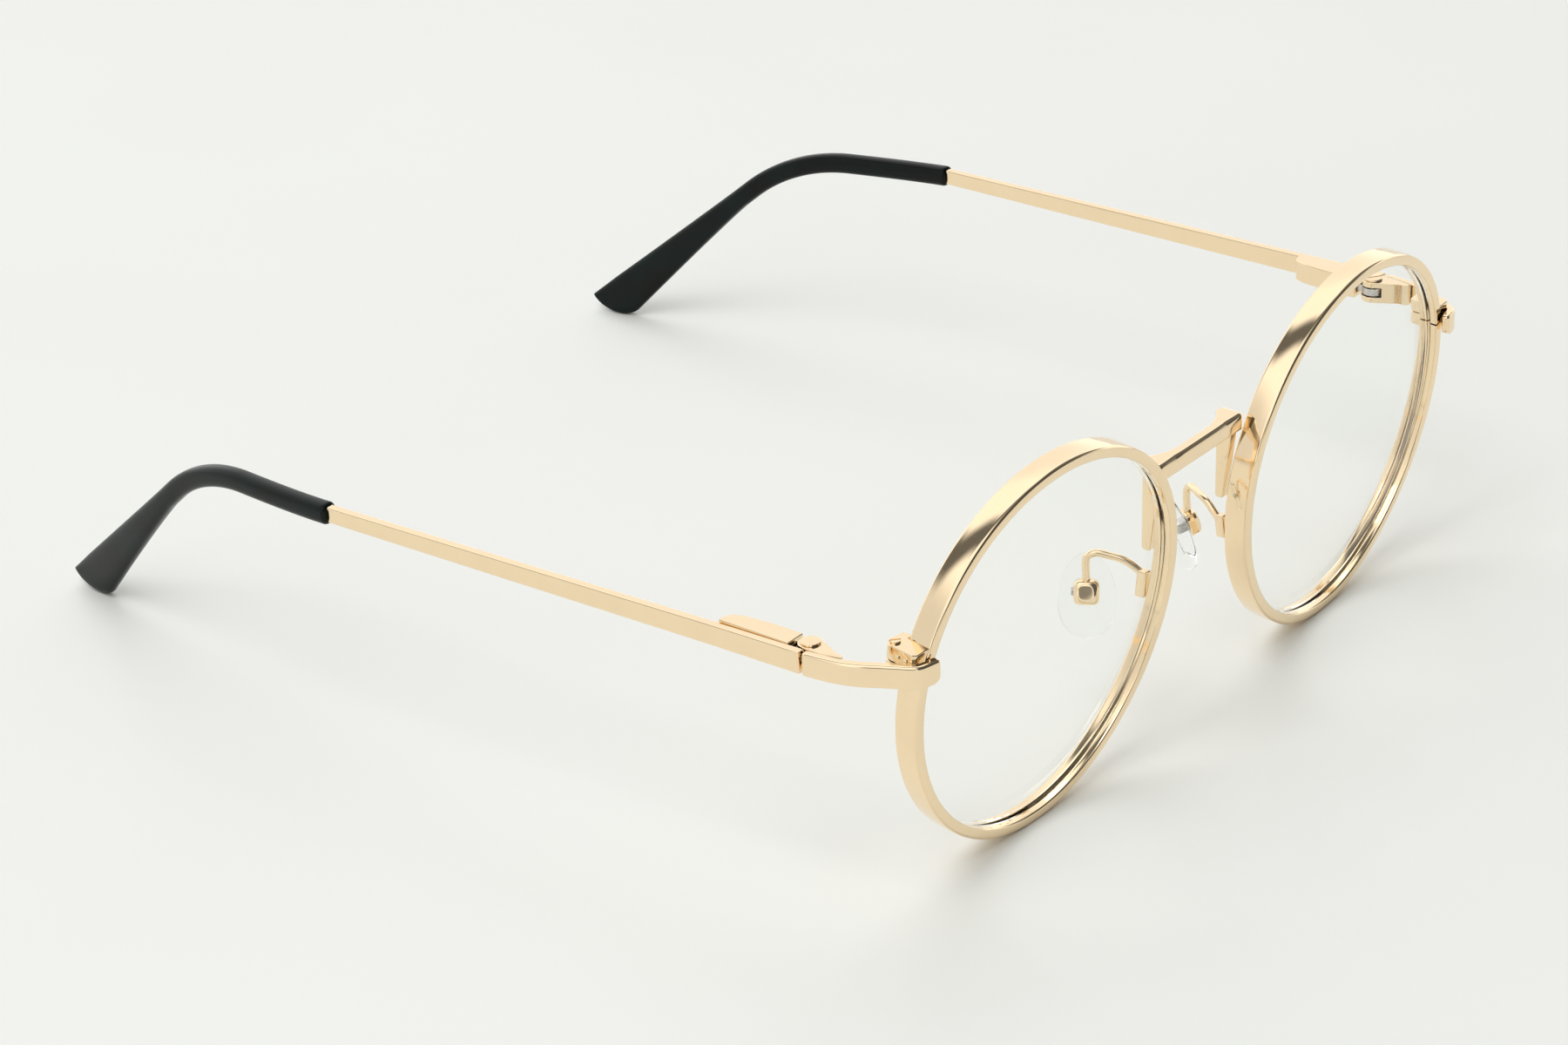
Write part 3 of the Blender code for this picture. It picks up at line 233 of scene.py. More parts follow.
class Plan:
    """Places that follow from the sizes, for the left half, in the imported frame's own position."""

    def __init__(self):
        scene = bpy.context.scene
        self.rim = scene.eyeglasses_rim
        self.block = scene.eyeglasses_block
        self.bridge = scene.eyeglasses_bridge
        self.pad = scene.eyeglasses_pad
        self.end = scene.eyeglasses_end
        self.hinge = scene.eyeglasses_hinge
        self.temple = scene.eyeglasses_temple
        rim = self.rim
        end = self.end
        self.split_v = rim.radius * sin(rim.split_angle)
        self.hinge_axis = Vector(JOINTS["left_temple_fold"]["pos_m"])
        self.mid_z = self.hinge_axis.z
        centre_x = rim.gap / 2 + rim.radius
        centre_z = self.mid_z - self.split_v + end.below_split
        self.outer_x = centre_x + rim.radius
        self.inner_x = centre_x - rim.radius
        self.end_rear_y = self.hinge_axis.y - self.hinge.behind_end
        lean = rim.radius * tan(rim.wrap) - (self.mid_z - centre_z) * tan(rim.tilt)
        self.centre = Vector((centre_x, self.end_rear_y - end.setback - lean, centre_z))
        self.rim_frame = (
            Matrix.Translation(self.centre)
            @ Matrix.Rotation(rim.wrap, 4, 'Z')
            @ Matrix.Rotation(rim.tilt, 4, 'X')
        )
        self.temple_x = self.outer_x + end.reach
        self.butt_y = self.end_rear_y + self.temple.butt_gap
        self.mouth_y = self.end_rear_y + BUTT_SPACE + self.temple.visible
        self.beside_bar = self.temple_x - self.temple.thickness - self.hinge_axis.x
        self.beside_strip = self.temple_x - end.thickness - self.hinge_axis.x
        pad = self.pad
        self.pad_pivot = Vector(JOINTS["left_pad_rock"]["pos_m"])
        self.pad_frame = (
            Matrix.Translation(self.pad_pivot)
            @ Matrix.Rotation(pi / 2 - pad.splay, 4, 'Z')
            @ Matrix.Rotation(-pad.flare, 4, 'X')
        )
        self.plan_tip()

    def front_y(self, x, z):
        """Y of the rim's front plane at X and Z."""
        lean = (x - self.centre.x) * tan(self.rim.wrap) - (z - self.centre.z) * tan(self.rim.tilt)
        return self.centre.y + lean

    def outline(self, turn):
        """Outer radius of the rim at an angle round it."""
        return self.rim.radius + self.rim.fullness * sin(3 * turn)

    def ring_point(self, turn, inset, depth):
        radius = self.outline(turn) - inset
        return self.rim_frame @ Vector((radius * cos(turn), depth, radius * sin(turn)))

    def rim_side(self, v):
        """How far the rim's outer face stands from its centre at height v above the centre."""
        turn = atan2(v, sqrt(self.rim.radius ** 2 - v ** 2))
        return self.outline(turn) * cos(turn)

    def bar_x(self, y):
        """X of the bar's middle: straight beside the spring housing, then splayed."""
        rear = self.hinge_axis.y + self.hinge.knuckle_radius
        rear += self.hinge.housing_gap + self.hinge.housing_length
        straight = self.temple_x - self.temple.thickness / 2
        return straight + max(0.0, y - rear) * tan(self.temple.splay)

    def temple_z(self, y):
        return self.mid_z - (y - self.butt_y) * tan(self.temple.slope)

    def plan_tip(self):
        """The tip's middle line: a straight run, a bend, and a straight run down to the table."""
        temple = self.temple
        turn = temple.drop - temple.sleeve_slope
        tangent = temple.bend_radius * tan(turn / 2)
        self.mouth_z = self.temple_z(self.mouth_y)
        self.first_run = temple.sleeve_length / cos(temple.sleeve_slope) - tangent
        self.bend_run = temple.bend_radius * turn
        corner_z = self.mouth_z - temple.sleeve_length * tan(temple.sleeve_slope)
        self.last_run = (corner_z - self.tip_end_z()) / sin(temple.drop) - tangent
        self.tip_length = self.first_run + self.bend_run + self.last_run
        self.tip_end_y = self.tip_place(self.tip_length)[0]

    def tip_end_reach(self, run):
        """How far the rounded end reaches below and above the middle line, run from its end."""
        temple = self.temple
        widening = temple.paddle_height - temple.tip_height
        low = temple.tip_height / 2 + widening * temple.paddle_share
        high = temple.tip_height / 2 + widening * (1 - temple.paddle_share)
        over = 1 - run / temple.paddle_end
        closing = max(sqrt(max(0.0, 1 - over ** 2)), 0.06)
        return (low + high) * closing - high, high

    def tip_end_z(self):
        """Height of the end of the middle line when the tip's lowest point touches the table."""
        temple = self.temple
        runs = [temple.paddle_end * i / 40 for i in range(41)]
        return max(self.tip_end_reach(run)[0] * cos(temple.drop) - run * sin(temple.drop)
                   for run in runs)

    def tip_reach(self, travel):
        """How far the tip reaches below and above its middle line at a distance along it."""
        temple = self.temple
        before_end = self.tip_length - travel
        if before_end < temple.paddle_end:
            return self.tip_end_reach(before_end)
        widening_run = temple.paddle_length - temple.paddle_end
        t = min(1.0, max(0.0, 1 - (before_end - temple.paddle_end) / widening_run))
        widening = (temple.paddle_height - temple.tip_height) * t ** 1.15
        half = temple.tip_height / 2
        return half + widening * temple.paddle_share, half + widening * (1 - temple.paddle_share)

    def tip_place(self, travel):
        """(y, z, slope) of the tip's middle line at a distance from its mouth."""
        temple = self.temple
        slope = temple.sleeve_slope
        straight = min(travel, self.first_run)
        y = self.mouth_y + straight * cos(slope)
        z = self.mouth_z - straight * sin(slope)
        if travel > self.first_run:
            bent = min(travel - self.first_run, self.bend_run)
            slope = temple.sleeve_slope + bent / temple.bend_radius
            y += temple.bend_radius * (sin(slope) - sin(temple.sleeve_slope))
            z -= temple.bend_radius * (cos(temple.sleeve_slope) - cos(slope))
        rest = travel - self.first_run - self.bend_run
        if rest > 0:
            y += rest * cos(slope)
            z -= rest * sin(slope)
        return y, z, slope

    def tip_x(self, y):
        """X of the tip's middle: it curves in towards the head from its mouth on."""
        run = max(0.0, (y - self.mouth_y) / (self.tip_end_y - self.mouth_y))
        return self.bar_x(y) - self.temple.inward * run ** 1.3

    def slider_middle(self):
        return (self.beside_bar - self.hinge.clearance - self.hinge.knuckle_radius) / 2

    def box_back(self):
        """Back of the pad's box along the pad frame's local Y."""
        pad = self.pad
        return -pad.peg_side / 2 - pad.box_wall - PEG_PLAY


# ---------------------------------------------------------------- shaping

def soften(outline, reach, steps=4, support=0.35):
    """Round the corners of a closed outline; reach is one size for all corners, or one for each.

    A reach of nothing leaves a corner sharp.

    A further point beside each round keeps the flats between the corners flat in shading.
    """
    count = len(outline)
    reaches = reach if isinstance(reach, (list, tuple)) else [reach] * count
    rounded = []
    for i in range(count):
        here = Vector(outline[i])
        if not reaches[i]:
            rounded.append(here)
            continue
        before = Vector(outline[i - 1]) - here
        after = Vector(outline[(i + 1) % count]) - here
        size = min(reaches[i], before.length * 0.46, after.length * 0.46)
        beside = [
            here + way.normalized() * min(size * (1 + support), way.length * 0.49)
            for way in (before, after)
        ]
        start = here + before.normalized() * size
        end = here + after.normalized() * size
        rounded.append(beside[0])
        for k in range(steps + 1):
            t = k / steps
            rounded.append((1 - t) ** 2 * start + 2 * t * (1 - t) * here + t ** 2 * end)
        rounded.append(beside[1])
    return [tuple(point) for point in rounded]


FAN_FROM = 100                  # points in a ring from which its cap is a fan


def skin(rings, closed=False):
    """Join rings of points one after another; an open run gets a cap at each end."""
    shape = bmesh.new()
    rows = [[shape.verts.new(point) for point in ring] for ring in rings]
    count = len(rows[0])
    pairs = list(zip(rows, rows[1:]))
    if closed:
        pairs.append((rows[-1], rows[0]))
    for here, there in pairs:
        for i in range(count):
            j = (i + 1) % count
            shape.faces.new((here[i], here[j], there[j], there[i]))
    if not closed:
        for row in (rows[0], rows[-1]):
            cap(shape, row, count > FAN_FROM)
    return shape


def cap(shape, row, fan):
    """Close an open end with one face, or with a fan about its middle where it is finely cut."""
    if not fan:
        shape.faces.new(row)
        return
    middle = shape.verts.new(sum((vert.co for vert in row), Vector()) / len(row))
    for i in range(len(row)):
        shape.faces.new((row[i - 1], row[i], middle))


def prism(outline, low, high, place):
    """Extrude an outline (x, y) from height low to high in the frame place."""
    return skin([[place @ Vector((x, y, z)) for x, y in outline] for z in (low, high)])


def block(corner, opposite, place):
    outline = [
        (corner[0], corner[1]),
        (opposite[0], corner[1]),
        (opposite[0], opposite[1]),
        (corner[0], opposite[1]),
    ]
    return prism(outline, corner[2], opposite[2], place)


def turned(profile, place, segments=40):
    """Turn (radius, height) points about the Z axis of the frame place."""
    rings = []
    for radius, height in profile:
        rings.append([
            place @ Vector((radius * cos(2 * pi * i / segments),
                            radius * sin(2 * pi * i / segments), height))
            for i in range(segments)
        ])
    return skin(rings)


def curve_through(points, steps):
    """Points on a smooth curve through the given points."""
    knots = [Vector(point) for point in points]
    knots = [2 * knots[0] - knots[1]] + knots + [2 * knots[-1] - knots[-2]]
    curve = []
    for a, b, c, d in zip(knots, knots[1:], knots[2:], knots[3:]):
        for i in range(steps):
            t = i / steps
            curve.append(0.5 * (
                2 * b + (c - a) * t
                + (2 * a - 5 * b + 4 * c - d) * t ** 2
                + (3 * b - a - 3 * c + d) * t ** 3
            ))
    curve.append(knots[-2])
    return curve


def directions(route):
    """Unit direction of travel at each point of a route."""
    found = []
    for i in range(len(route)):
        ahead = route[min(i + 1, len(route) - 1)]
        behind = route[max(i - 1, 0)]
        found.append((ahead - behind).normalized())
    return found


def tube(route, radius, sides=18):
    """A round wire along a route."""
    rings = []
    normal = directions(route)[0].orthogonal()
    for point, along in zip(route, directions(route)):
        normal = (normal - along * normal.dot(along)).normalized()
        across = along.cross(normal)
        rings.append([
            point + radius * (normal * cos(2 * pi * k / sides) + across * sin(2 * pi * k / sides))
            for k in range(sides)
        ])
    return skin(rings)


def make_object(name, shape, side):
    """A smooth-shaded object from a left-hand shape; side -1 mirrors it about X = 0."""
    for vert in shape.verts:
        vert.co.x *= side
    bmesh.ops.recalc_face_normals(shape, faces=shape.faces)
    if shape.calc_volume(signed=True) < 0:
        bmesh.ops.reverse_faces(shape, faces=shape.faces)
    mesh = bpy.data.meshes.new(name)
    shape.to_mesh(mesh)
    shape.free()
    mesh.shade_smooth()
    made = bpy.data.objects.new(name, mesh)
    bpy.context.scene.collection.objects.link(made)
    return made


def cut(piece, shape, side):
    """Cut a left-hand shape from a piece and keep the result as its mesh."""
    cutter = make_object("cutter", shape, side)
    change = piece.modifiers.new("cut", 'BOOLEAN')
    change.object = cutter
    change.solver = 'EXACT'
    bpy.context.view_layer.update()
    graph = bpy.context.evaluated_depsgraph_get()
    mesh = bpy.data.meshes.new_from_object(piece.evaluated_get(graph))
    mesh.name = piece.name
    piece.modifiers.clear()
    piece.data = mesh
    bpy.data.objects.remove(cutter, do_unlink=True)


def round_edges(piece, width, segments=3):
    """Round the edges of a piece; the flats between them keep flat shading."""
    change = piece.modifiers.new("rounded edges", 'BEVEL')
    change.width = width
    change.segments = segments
    change.limit_method = 'ANGLE'
    change.angle_limit = radians(28.0)
    change.harden_normals = True


def finish_piece(piece, finish, body, nodes=(), sharp=40.0):
    """Give a piece its material and let it ride on its body in place of its frame nodes."""
    if not any(change.type == 'BEVEL' for change in piece.modifiers):
        piece.data.set_sharp_from_angle(angle=radians(sharp))
    piece.data.materials.clear()
    piece.data.materials.append(finish)
    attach(piece, body)
    if nodes:
        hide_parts(*nodes)
    return piece


# ---------------------------------------------------------------- shader graph

class Socket:
    """A node's output that can stand in a Python expression: each operator adds a Math node."""

    def __init__(self, graph, output):
        self.graph = graph
        self.output = output

    def math(self, operation, *values):
        return self.graph.node("ShaderNodeMath", {"operation": operation},
                               dict(enumerate(values)))

    def __add__(self, other):
        return self.math('ADD', self, other)

    __radd__ = __add__

    def __sub__(self, other):
        return self.math('SUBTRACT', self, other)

    def __rsub__(self, other):
        return self.math('SUBTRACT', other, self)

    def __mul__(self, other):
        return self.math('MULTIPLY', self, other)

    __rmul__ = __mul__

    def between(self, low, high):
        """0 at low, 1 at high and smooth in between."""
        return self.graph.node(
            "ShaderNodeMapRange", {"interpolation_type": 'SMOOTHSTEP'},
            {"Value": self, "From Min": low, "From Max": high},
        )


class Graph:
    """A node tree that is built up from expressions."""

    def __init__(self, tree):
        self.tree = tree
        self.tree.nodes.clear()

    def node(self, kind, settings=None, inputs=None, output=0):
        made = self.tree.nodes.new(kind)
        for key, value in (settings or {}).items():
            setattr(made, key, value)
        for key, value in (inputs or {}).items():
            if isinstance(value, Socket):
                self.tree.links.new(value.output, made.inputs[key])
            else:
                made.inputs[key].default_value = value
        if not made.outputs:
            return made
        return Socket(self, made.outputs[output])

    def mix_colours(self, factor, first, second):
        return self.node("ShaderNodeMix", {"data_type": 'RGBA'},
                         {0: factor, 6: first, 7: second}, output=2)

    def place(self):
        """Position in the piece's own space, in metres."""
        return self.node("ShaderNodeTexCoord", output=3)

    def stretched(self, vector, scale):
        return self.node("ShaderNodeVectorMath", {"operation": 'MULTIPLY'},
                         {0: vector, 1: scale})

    def noise(self, vector, size, detail=2.0, roughness=0.5):
        """Noise whose patches are about the given size in metres."""
        return self.node("ShaderNodeTexNoise", None, {
            "Vector": vector, "Scale": 1.0 / size, "Detail": detail, "Roughness": roughness,
        })

    def bump(self, height, distance, normal=None):
        inputs = {"Height": height, "Distance": distance, "Strength": 1.0}
        if normal:
            inputs["Normal"] = normal
        return self.node("ShaderNodeBump", None, inputs)

    def surface(self, shader):
        self.node("ShaderNodeOutputMaterial", None, {"Surface": shader})


def opaque(rgb):
    return (rgb[0], rgb[1], rgb[2], 1.0)


def new_material(name):
    made = bpy.data.materials.new(name)
    made.use_nodes = True
    return made, Graph(made.node_tree)


def shared(maker):
    """Make a material the first time it is asked for, and give back the same one after that."""
    kept = []

    def get():
        if not kept:
            kept.append(maker())
        return kept[0]

    return get


@shared
def polished_gold():
    """Pale gold plating, polished by wheel: faint swirls, hairlines and thinner, rosier patches."""
    tints = bpy.context.scene.eyeglasses_finishes
    made, graph = new_material("polished_gold")
    place = graph.place()
    patches = graph.noise(place, 4.0 * MM, 3.0).between(0.35, 0.75)
    haze = graph.noise(place, 1.6 * MM, 4.0, 0.6)
    hairlines = graph.noise(graph.stretched(place, (9.0, 0.7, 9.0)), 1.2 * MM, 2.0)
    swell = graph.noise(place, 3.2 * MM, 1.0)
    rough = tints.gold_gloss + 0.05 * haze + 0.05 * hairlines.between(0.56, 0.78)
    shader = graph.node("ShaderNodeBsdfPrincipled", None, {
        "Base Color": graph.mix_colours(
            patches * 0.30, opaque(tints.gold), opaque(tints.gold_worn)),
        "Metallic": 1.0,
        "Roughness": rough,
        "Normal": graph.bump(hairlines, 0.0006 * MM, graph.bump(swell, 0.006 * MM)),
    })
    graph.surface(shader)
    return made


@shared
def hinge_steel():
    """Bright turned steel with fine tool marks."""
    tints = bpy.context.scene.eyeglasses_finishes
    made, graph = new_material("hinge_steel")
    place = graph.place()
    marks = graph.noise(graph.stretched(place, (1.0, 1.0, 14.0)), 0.8 * MM, 2.0)
    stain = graph.noise(place, 1.5 * MM, 3.0).between(0.4, 0.8)
    shader = graph.node("ShaderNodeBsdfPrincipled", None, {
        "Base Color": graph.mix_colours(stain * 0.35, opaque(tints.steel), (0.42, 0.40, 0.38, 1)),
        "Metallic": 1.0,
        "Roughness": 0.16 + 0.2 * marks,
        "Normal": graph.bump(marks, 0.001 * MM),
    })
    graph.surface(shader)
    return made


@shared
def black_acetate():
    """Tumbled black plastic: glossy, with a green depth, soft tool waves and fine rubbing."""
    tints = bpy.context.scene.eyeglasses_finishes
    made, graph = new_material("black_acetate")
    place = graph.place()
    cloud = graph.noise(place, 7.0 * MM, 3.0).between(0.35, 0.7)
    rub = graph.noise(graph.stretched(place, (6.0, 1.0, 6.0)), 1.0 * MM, 3.0)
    swell = graph.noise(place, 5.0 * MM, 1.0)
    shader = graph.node("ShaderNodeBsdfPrincipled", None, {
        "Base Color": graph.mix_colours(
            cloud * 0.6, opaque(tints.black), opaque(tints.black_deep)),
        "Roughness": 0.17 + 0.12 * rub,
        "Normal": graph.bump(rub, 0.0008 * MM, graph.bump(swell, 0.02 * MM)),
        "Specular IOR Level": 0.15,
    })
    graph.surface(shader)
    return made


def see_through(graph, shader, tint):
    """Let light from lamps and the sky pass straight through a clear piece."""
    shadow = graph.node("ShaderNodeLightPath", output="Is Shadow Ray")
    diffuse = graph.node("ShaderNodeLightPath", output="Is Diffuse Ray")
    passes = shadow.math('MAXIMUM', shadow, diffuse)
    clear = graph.node("ShaderNodeBsdfTransparent", None, {"Color": opaque(tint)})
    return graph.node("ShaderNodeMixShader", None, {0: passes, 1: shader, 2: clear})


@shared
def clear_lens():
    """Clear coated lens with a trace of wiping marks."""
    tints = bpy.context.scene.eyeglasses_finishes
    made, graph = new_material("clear_lens")
    wipes = graph.noise(graph.stretched(graph.place(), (1.0, 1.0, 3.0)), 9.0 * MM, 3.0)
    shader = graph.node("ShaderNodeBsdfPrincipled", None, {
        "Base Color": opaque(tints.lens),
        "Roughness": 0.012 * wipes.between(0.5, 0.9),
        "Transmission Weight": 1.0,
        "IOR": 1.07,
    })
    graph.surface(see_through(graph, shader, tints.lens))
    return made


@shared
def clear_silicone():
    """Soft clear silicone with a slightly uneven, faintly matt skin."""
    tints = bpy.context.scene.eyeglasses_finishes
    made, graph = new_material("clear_silicone")
    place = graph.place()
    skin_grain = graph.noise(place, 0.5 * MM, 3.0)
    swell = graph.noise(place, 3.0 * MM, 1.0)
    shader = graph.node("ShaderNodeBsdfPrincipled", None, {
        "Base Color": opaque(tints.silicone),
        "Roughness": 0.05 + 0.08 * skin_grain,
        "Transmission Weight": 1.0,
        "IOR": 1.12,
        "Normal": graph.bump(swell, 0.03 * MM),
    })
    graph.surface(see_through(graph, shader, tints.silicone))
    return made


# ---------------------------------------------------------------- rims, lenses and closing blocks

RIM_STEPS = 216                 # stretches round a rim and round a lens


def rim_shape(plan):
    """The grooved wire, swept round from one side of its cut to the other."""
    rim = plan.rim
    middle = rim.depth / 2
    half = rim.groove_width / 2
    lip = 0.16 * MM
    front_inner = 0.28 * MM
    back_inner = 0.22 * MM
    back_outer = 0.24 * MM
    crown_reach = 1.4 * MM
    corners = [
        ((0.0, 0.0), rim.edge),
        ((rim.thickness, 0.0), front_inner),
        ((rim.thickness, middle - half), lip),
        ((rim.thickness - rim.groove_depth, middle), lip),
        ((rim.thickness, middle + half), lip),
        ((rim.thickness, rim.depth), back_inner),
        ((0.0, rim.depth), back_outer),
        ((-rim.crown, middle), crown_reach),
    ]
    section = soften([corner for corner, _ in corners], [reach for _, reach in corners], 5)
    half_split = rim.split / 2 / rim.radius
    start = rim.split_angle + half_split
    sweep = 2 * pi - 2 * half_split
    rings = []
    for i in range(RIM_STEPS + 1):
        turn = start + sweep * i / RIM_STEPS
        rings.append([plan.ring_point(turn, inset, depth) for inset, depth in section])
    return skin(rings)


def lens_shape(plan):
    """A curved disc whose bevelled edge stands in the rim's groove."""
    rim = plan.rim
    middle = rim.depth / 2
    shoulder = rim.thickness + rim.lens_gap
    span = rim.radius - shoulder
    turns = [2 * pi * i / RIM_STEPS for i in range(RIM_STEPS)]

    def face(part, curve, depth):
        ring = []
        for turn in turns:
            outer = plan.outline(turn)
            edge = outer - shoulder
            crown = (span ** 2 - (edge * part) ** 2) / (2 * curve)
            ring.append(plan.ring_point(turn, outer - edge * part, depth - crown))
        return ring

    parts = (0.03, 0.12, 0.25, 0.4, 0.55, 0.7, 0.82, 0.92, 0.985, 1.0)
    front = middle - rim.lens_thickness / 2
    back = middle + rim.lens_thickness / 2
    half = rim.groove_width / 2
    land = 0.06 * MM            # half the flat along the tip of the bevelled edge
    rings = [face(part, rim.front_curve, front) for part in parts]
    for inset, depth in (
        (shoulder, middle - half),
        (shoulder - rim.groove_depth, middle - land),
        (shoulder - rim.groove_depth, middle + land),
        (shoulder, middle + half),
    ):
        rings.append([plan.ring_point(turn, inset, depth) for turn in turns])
    rings += [face(part, rim.back_curve, back) for part in parts[::-1]]
    return skin(rings)


def closing_block_shape(plan, low, high):
    """One half of the block, wrapped round the outside and the back of the rim."""
    block_sizes = plan.block
    rim = plan.rim
    outer = rim.radius + block_sizes.reach
    gap = 0.12 * MM
    back_round = 1.2 * MM
    inner_round = 0.7 * MM
    rings = []
    for v in (low, high):
        beside = plan.rim_side(v) + gap
        behind = beside - gap - rim.thickness / 2
        section = [
            (beside, block_sizes.front_wall),
            (outer - block_sizes.chamfer, block_sizes.front_wall),
            (outer, block_sizes.front_wall + block_sizes.chamfer),
            (outer, block_sizes.depth),
            (behind, block_sizes.depth),
            (behind, rim.depth + gap),
            (beside, rim.depth + gap),
        ]
        section = soften(section, [0, 0, 0, back_round, inner_round, 0, 0], 4, 0.5)
        rings.append([plan.rim_frame @ Vector((u, w, v)) for u, w in section])
    return skin(rings)


def slotted_head(name, place, radius, height, slot, side, shank, segments=44):
    """A screw with a domed edge, cut across by a screwdriver slot; place is under its head."""
    width, depth = slot
    rise = height * 0.45
    profile = [(shank[0], -shank[1]), (shank[0], 0.0), (radius, 0.0), (radius, height - rise)]
    for i in range(1, 6):
        t = pi / 2 * i / 5
        profile.append((radius - rise * (1 - cos(t)), height - rise + rise * sin(t)))
    screw = make_object(name, turned(profile, place, segments), side)
    reach = 2 * radius
    cut(screw, block((-reach, -width / 2, height - depth), (reach, width / 2, height + reach),
                     place), side)
    round_edges(screw, 0.04 * MM, 2)
    return screw


class EYEGLASSES_OT_rims(bpy.types.Operator):
    """Make the two rims"""

    bl_idname = "eyeglasses.rims"
    bl_label = "Rims"

    def execute(self, context):
        plan = Plan()
        for side, prefix in SIDES:
            piece = make_object(prefix + "rim_wire", rim_shape(plan), side)
            finish_piece(piece, polished_gold(), "front", [prefix + "rim"], 50.0)
        return {'FINISHED'}


class EYEGLASSES_OT_lenses(bpy.types.Operator):
    """Make the two lenses"""

    bl_idname = "eyeglasses.lenses"
    bl_label = "Lenses"

    def execute(self, context):
        plan = Plan()
        for side, prefix in SIDES:
            piece = make_object(prefix + "clear_lens", lens_shape(plan), side)
            finish_piece(piece, clear_lens(), "front", [prefix + "lens"], 25.0)
        return {'FINISHED'}


class EYEGLASSES_OT_closing_blocks(bpy.types.Operator):
    """Make the split blocks that clamp each rim, with their screws and pins"""

    bl_idname = "eyeglasses.closing_blocks"
    bl_label = "Closing blocks"

    def execute(self, context):
        plan = Plan()
        sizes = plan.block
        top = plan.split_v + sizes.half_height
        bottom = plan.split_v - sizes.half_height
        half_split = 0.07 * MM
        head_height = 0.26 * MM
        shank = (0.45 * MM, 0.6 * MM)
        slot = (plan.hinge.slot_width, plan.hinge.slot_depth)
        outer = plan.rim.radius + sizes.reach
        spans = {"upper": (plan.split_v + half_split, top),
                 "lower": (bottom, plan.split_v - half_split)}
        for side, prefix in SIDES:
            for half, (low, high) in spans.items():
                piece = make_object(prefix + half + "_block",
                                    closing_block_shape(plan, low, high), side)
                round_edges(piece, 0.14 * MM)
                finish_piece(piece, polished_gold(), "front",
                             [prefix + "closing_block_" + half])
            middle_w = (plan.rim.depth + sizes.depth) / 2
            place = plan.rim_frame @ Matrix.Translation((outer - sizes.screw_inset, middle_w, top))
            screw = slotted_head(prefix + "block_screw",
                                 place @ Matrix.Rotation(radians(35.0), 4, 'Z'),
                                 sizes.screw_head, head_height, slot, side, shank, 36)
            finish_piece(screw, polished_gold(), "front",
                         [prefix + "closing_screw"])
            self.make_pins(plan, side, prefix, outer, (top + plan.split_v) / 2)
        return {'FINISHED'}

    def make_pins(self, plan, side, prefix, outer, height):
        """Two small domed pins in the outer face of the upper block."""
        radius = plan.block.pin_radius
        root = 0.2 * MM
        rim_height = 0.06 * MM
        least = 0.01 * MM
        behind_front = (1.55 * MM, 2.75 * MM)
        profile = [(radius, -root), (radius, rim_height)]
        for i in range(1, 7):
            t = pi / 2 * i / 6
            profile.append((max(radius * cos(t), least), rim_height + 0.7 * radius * sin(t)))
        for number, w in enumerate(behind_front, 1):
            place = (
                plan.rim_frame @ Matrix.Translation((outer, w, height))
                @ Matrix.Rotation(pi / 2, 4, 'Y')
            )
            pin = make_object(f"{prefix}block_pin_{number}", turned(profile, place, 28), side)
            finish_piece(pin, polished_gold(), "front")


# ---------------------------------------------------------------- bridge

LEG_TUCK = 0.25 * MM            # outer faces of the legs inside the rim's inner face


def bridge_bar_shape(plan):
    """A bar that deepens towards the legs, with a broad round along the front of its top."""
    sizes = plan.bridge
    top = plan.centre.z + sizes.rise
    front = plan.front_y(plan.inner_x, top) + sizes.setback
    leg_outer = plan.inner_x + plan.rim.thickness - LEG_TUCK
    leg_gap = 0.6 * MM
    foot_y = plan.front_y(plan.inner_x, top - sizes.leg_drop) + plan.rim.depth + leg_gap
    end_depth = foot_y + sizes.leg_depth - front
    flare_start = 3.1 * MM
    flare_end = leg_outer - sizes.leg_width
    edge = 0.28 * MM
    low_edge = 0.3 * MM
    stations = 60
    rings = []
    for i in range(stations + 1):
        x = leg_outer * (2 * i / stations - 1)
        t = min(1.0, max(0.0, (abs(x) - flare_start) / (flare_end - flare_start)))
        depth = sizes.depth + (end_depth - sizes.depth) * t ** 2.2
        inset = 0.0
        near_end = leg_outer - abs(x)
        if near_end < edge:
            inset = edge - sqrt(max(0.0, edge ** 2 - (edge - near_end) ** 2))
        corners = [
            (front + inset, top - sizes.height + inset),
            (front + depth - inset, top - sizes.height + inset),
            (front + depth - inset, top - inset),
            (front + inset, top - inset),
        ]
        brow = sizes.brow * (1 - 0.35 * t)
        section = soften(corners, [low_edge, edge, edge, brow], 6)
        rings.append([Vector((x, y, z)) for y, z in section])
    return skin(rings)


def bridge_leg_shape(plan):
    """A leg that runs down behind the rim, with a rounded foot."""
    sizes = plan.bridge
    top = plan.centre.z + sizes.rise
    foot = top - sizes.leg_drop
    high = top - sizes.height * 0.3
    gap = 0.15 * MM
    inside_bar = 0.02 * MM
    outer = plan.inner_x + plan.rim.thickness - LEG_TUCK - inside_bar
    inner = outer - sizes.leg_width + 2 * inside_bar
    front_low = plan.front_y(plan.inner_x, foot) + plan.rim.depth + 4 * gap
    front_high = plan.front_y(plan.inner_x, high) + plan.rim.depth + 2 * gap
    back = front_low + sizes.leg_depth
    toe, heel, shoulder = 0.15 * MM, 0.8 * MM, 0.2 * MM
    side_view = soften([
        (front_low, foot),
        (back, foot),
        (back - gap, high),
        (front_high, high),
    ], [toe, heel, shoulder, shoulder], 5)
    return skin([[Vector((x, y, z)) for y, z in side_view] for x in (inner, outer)])


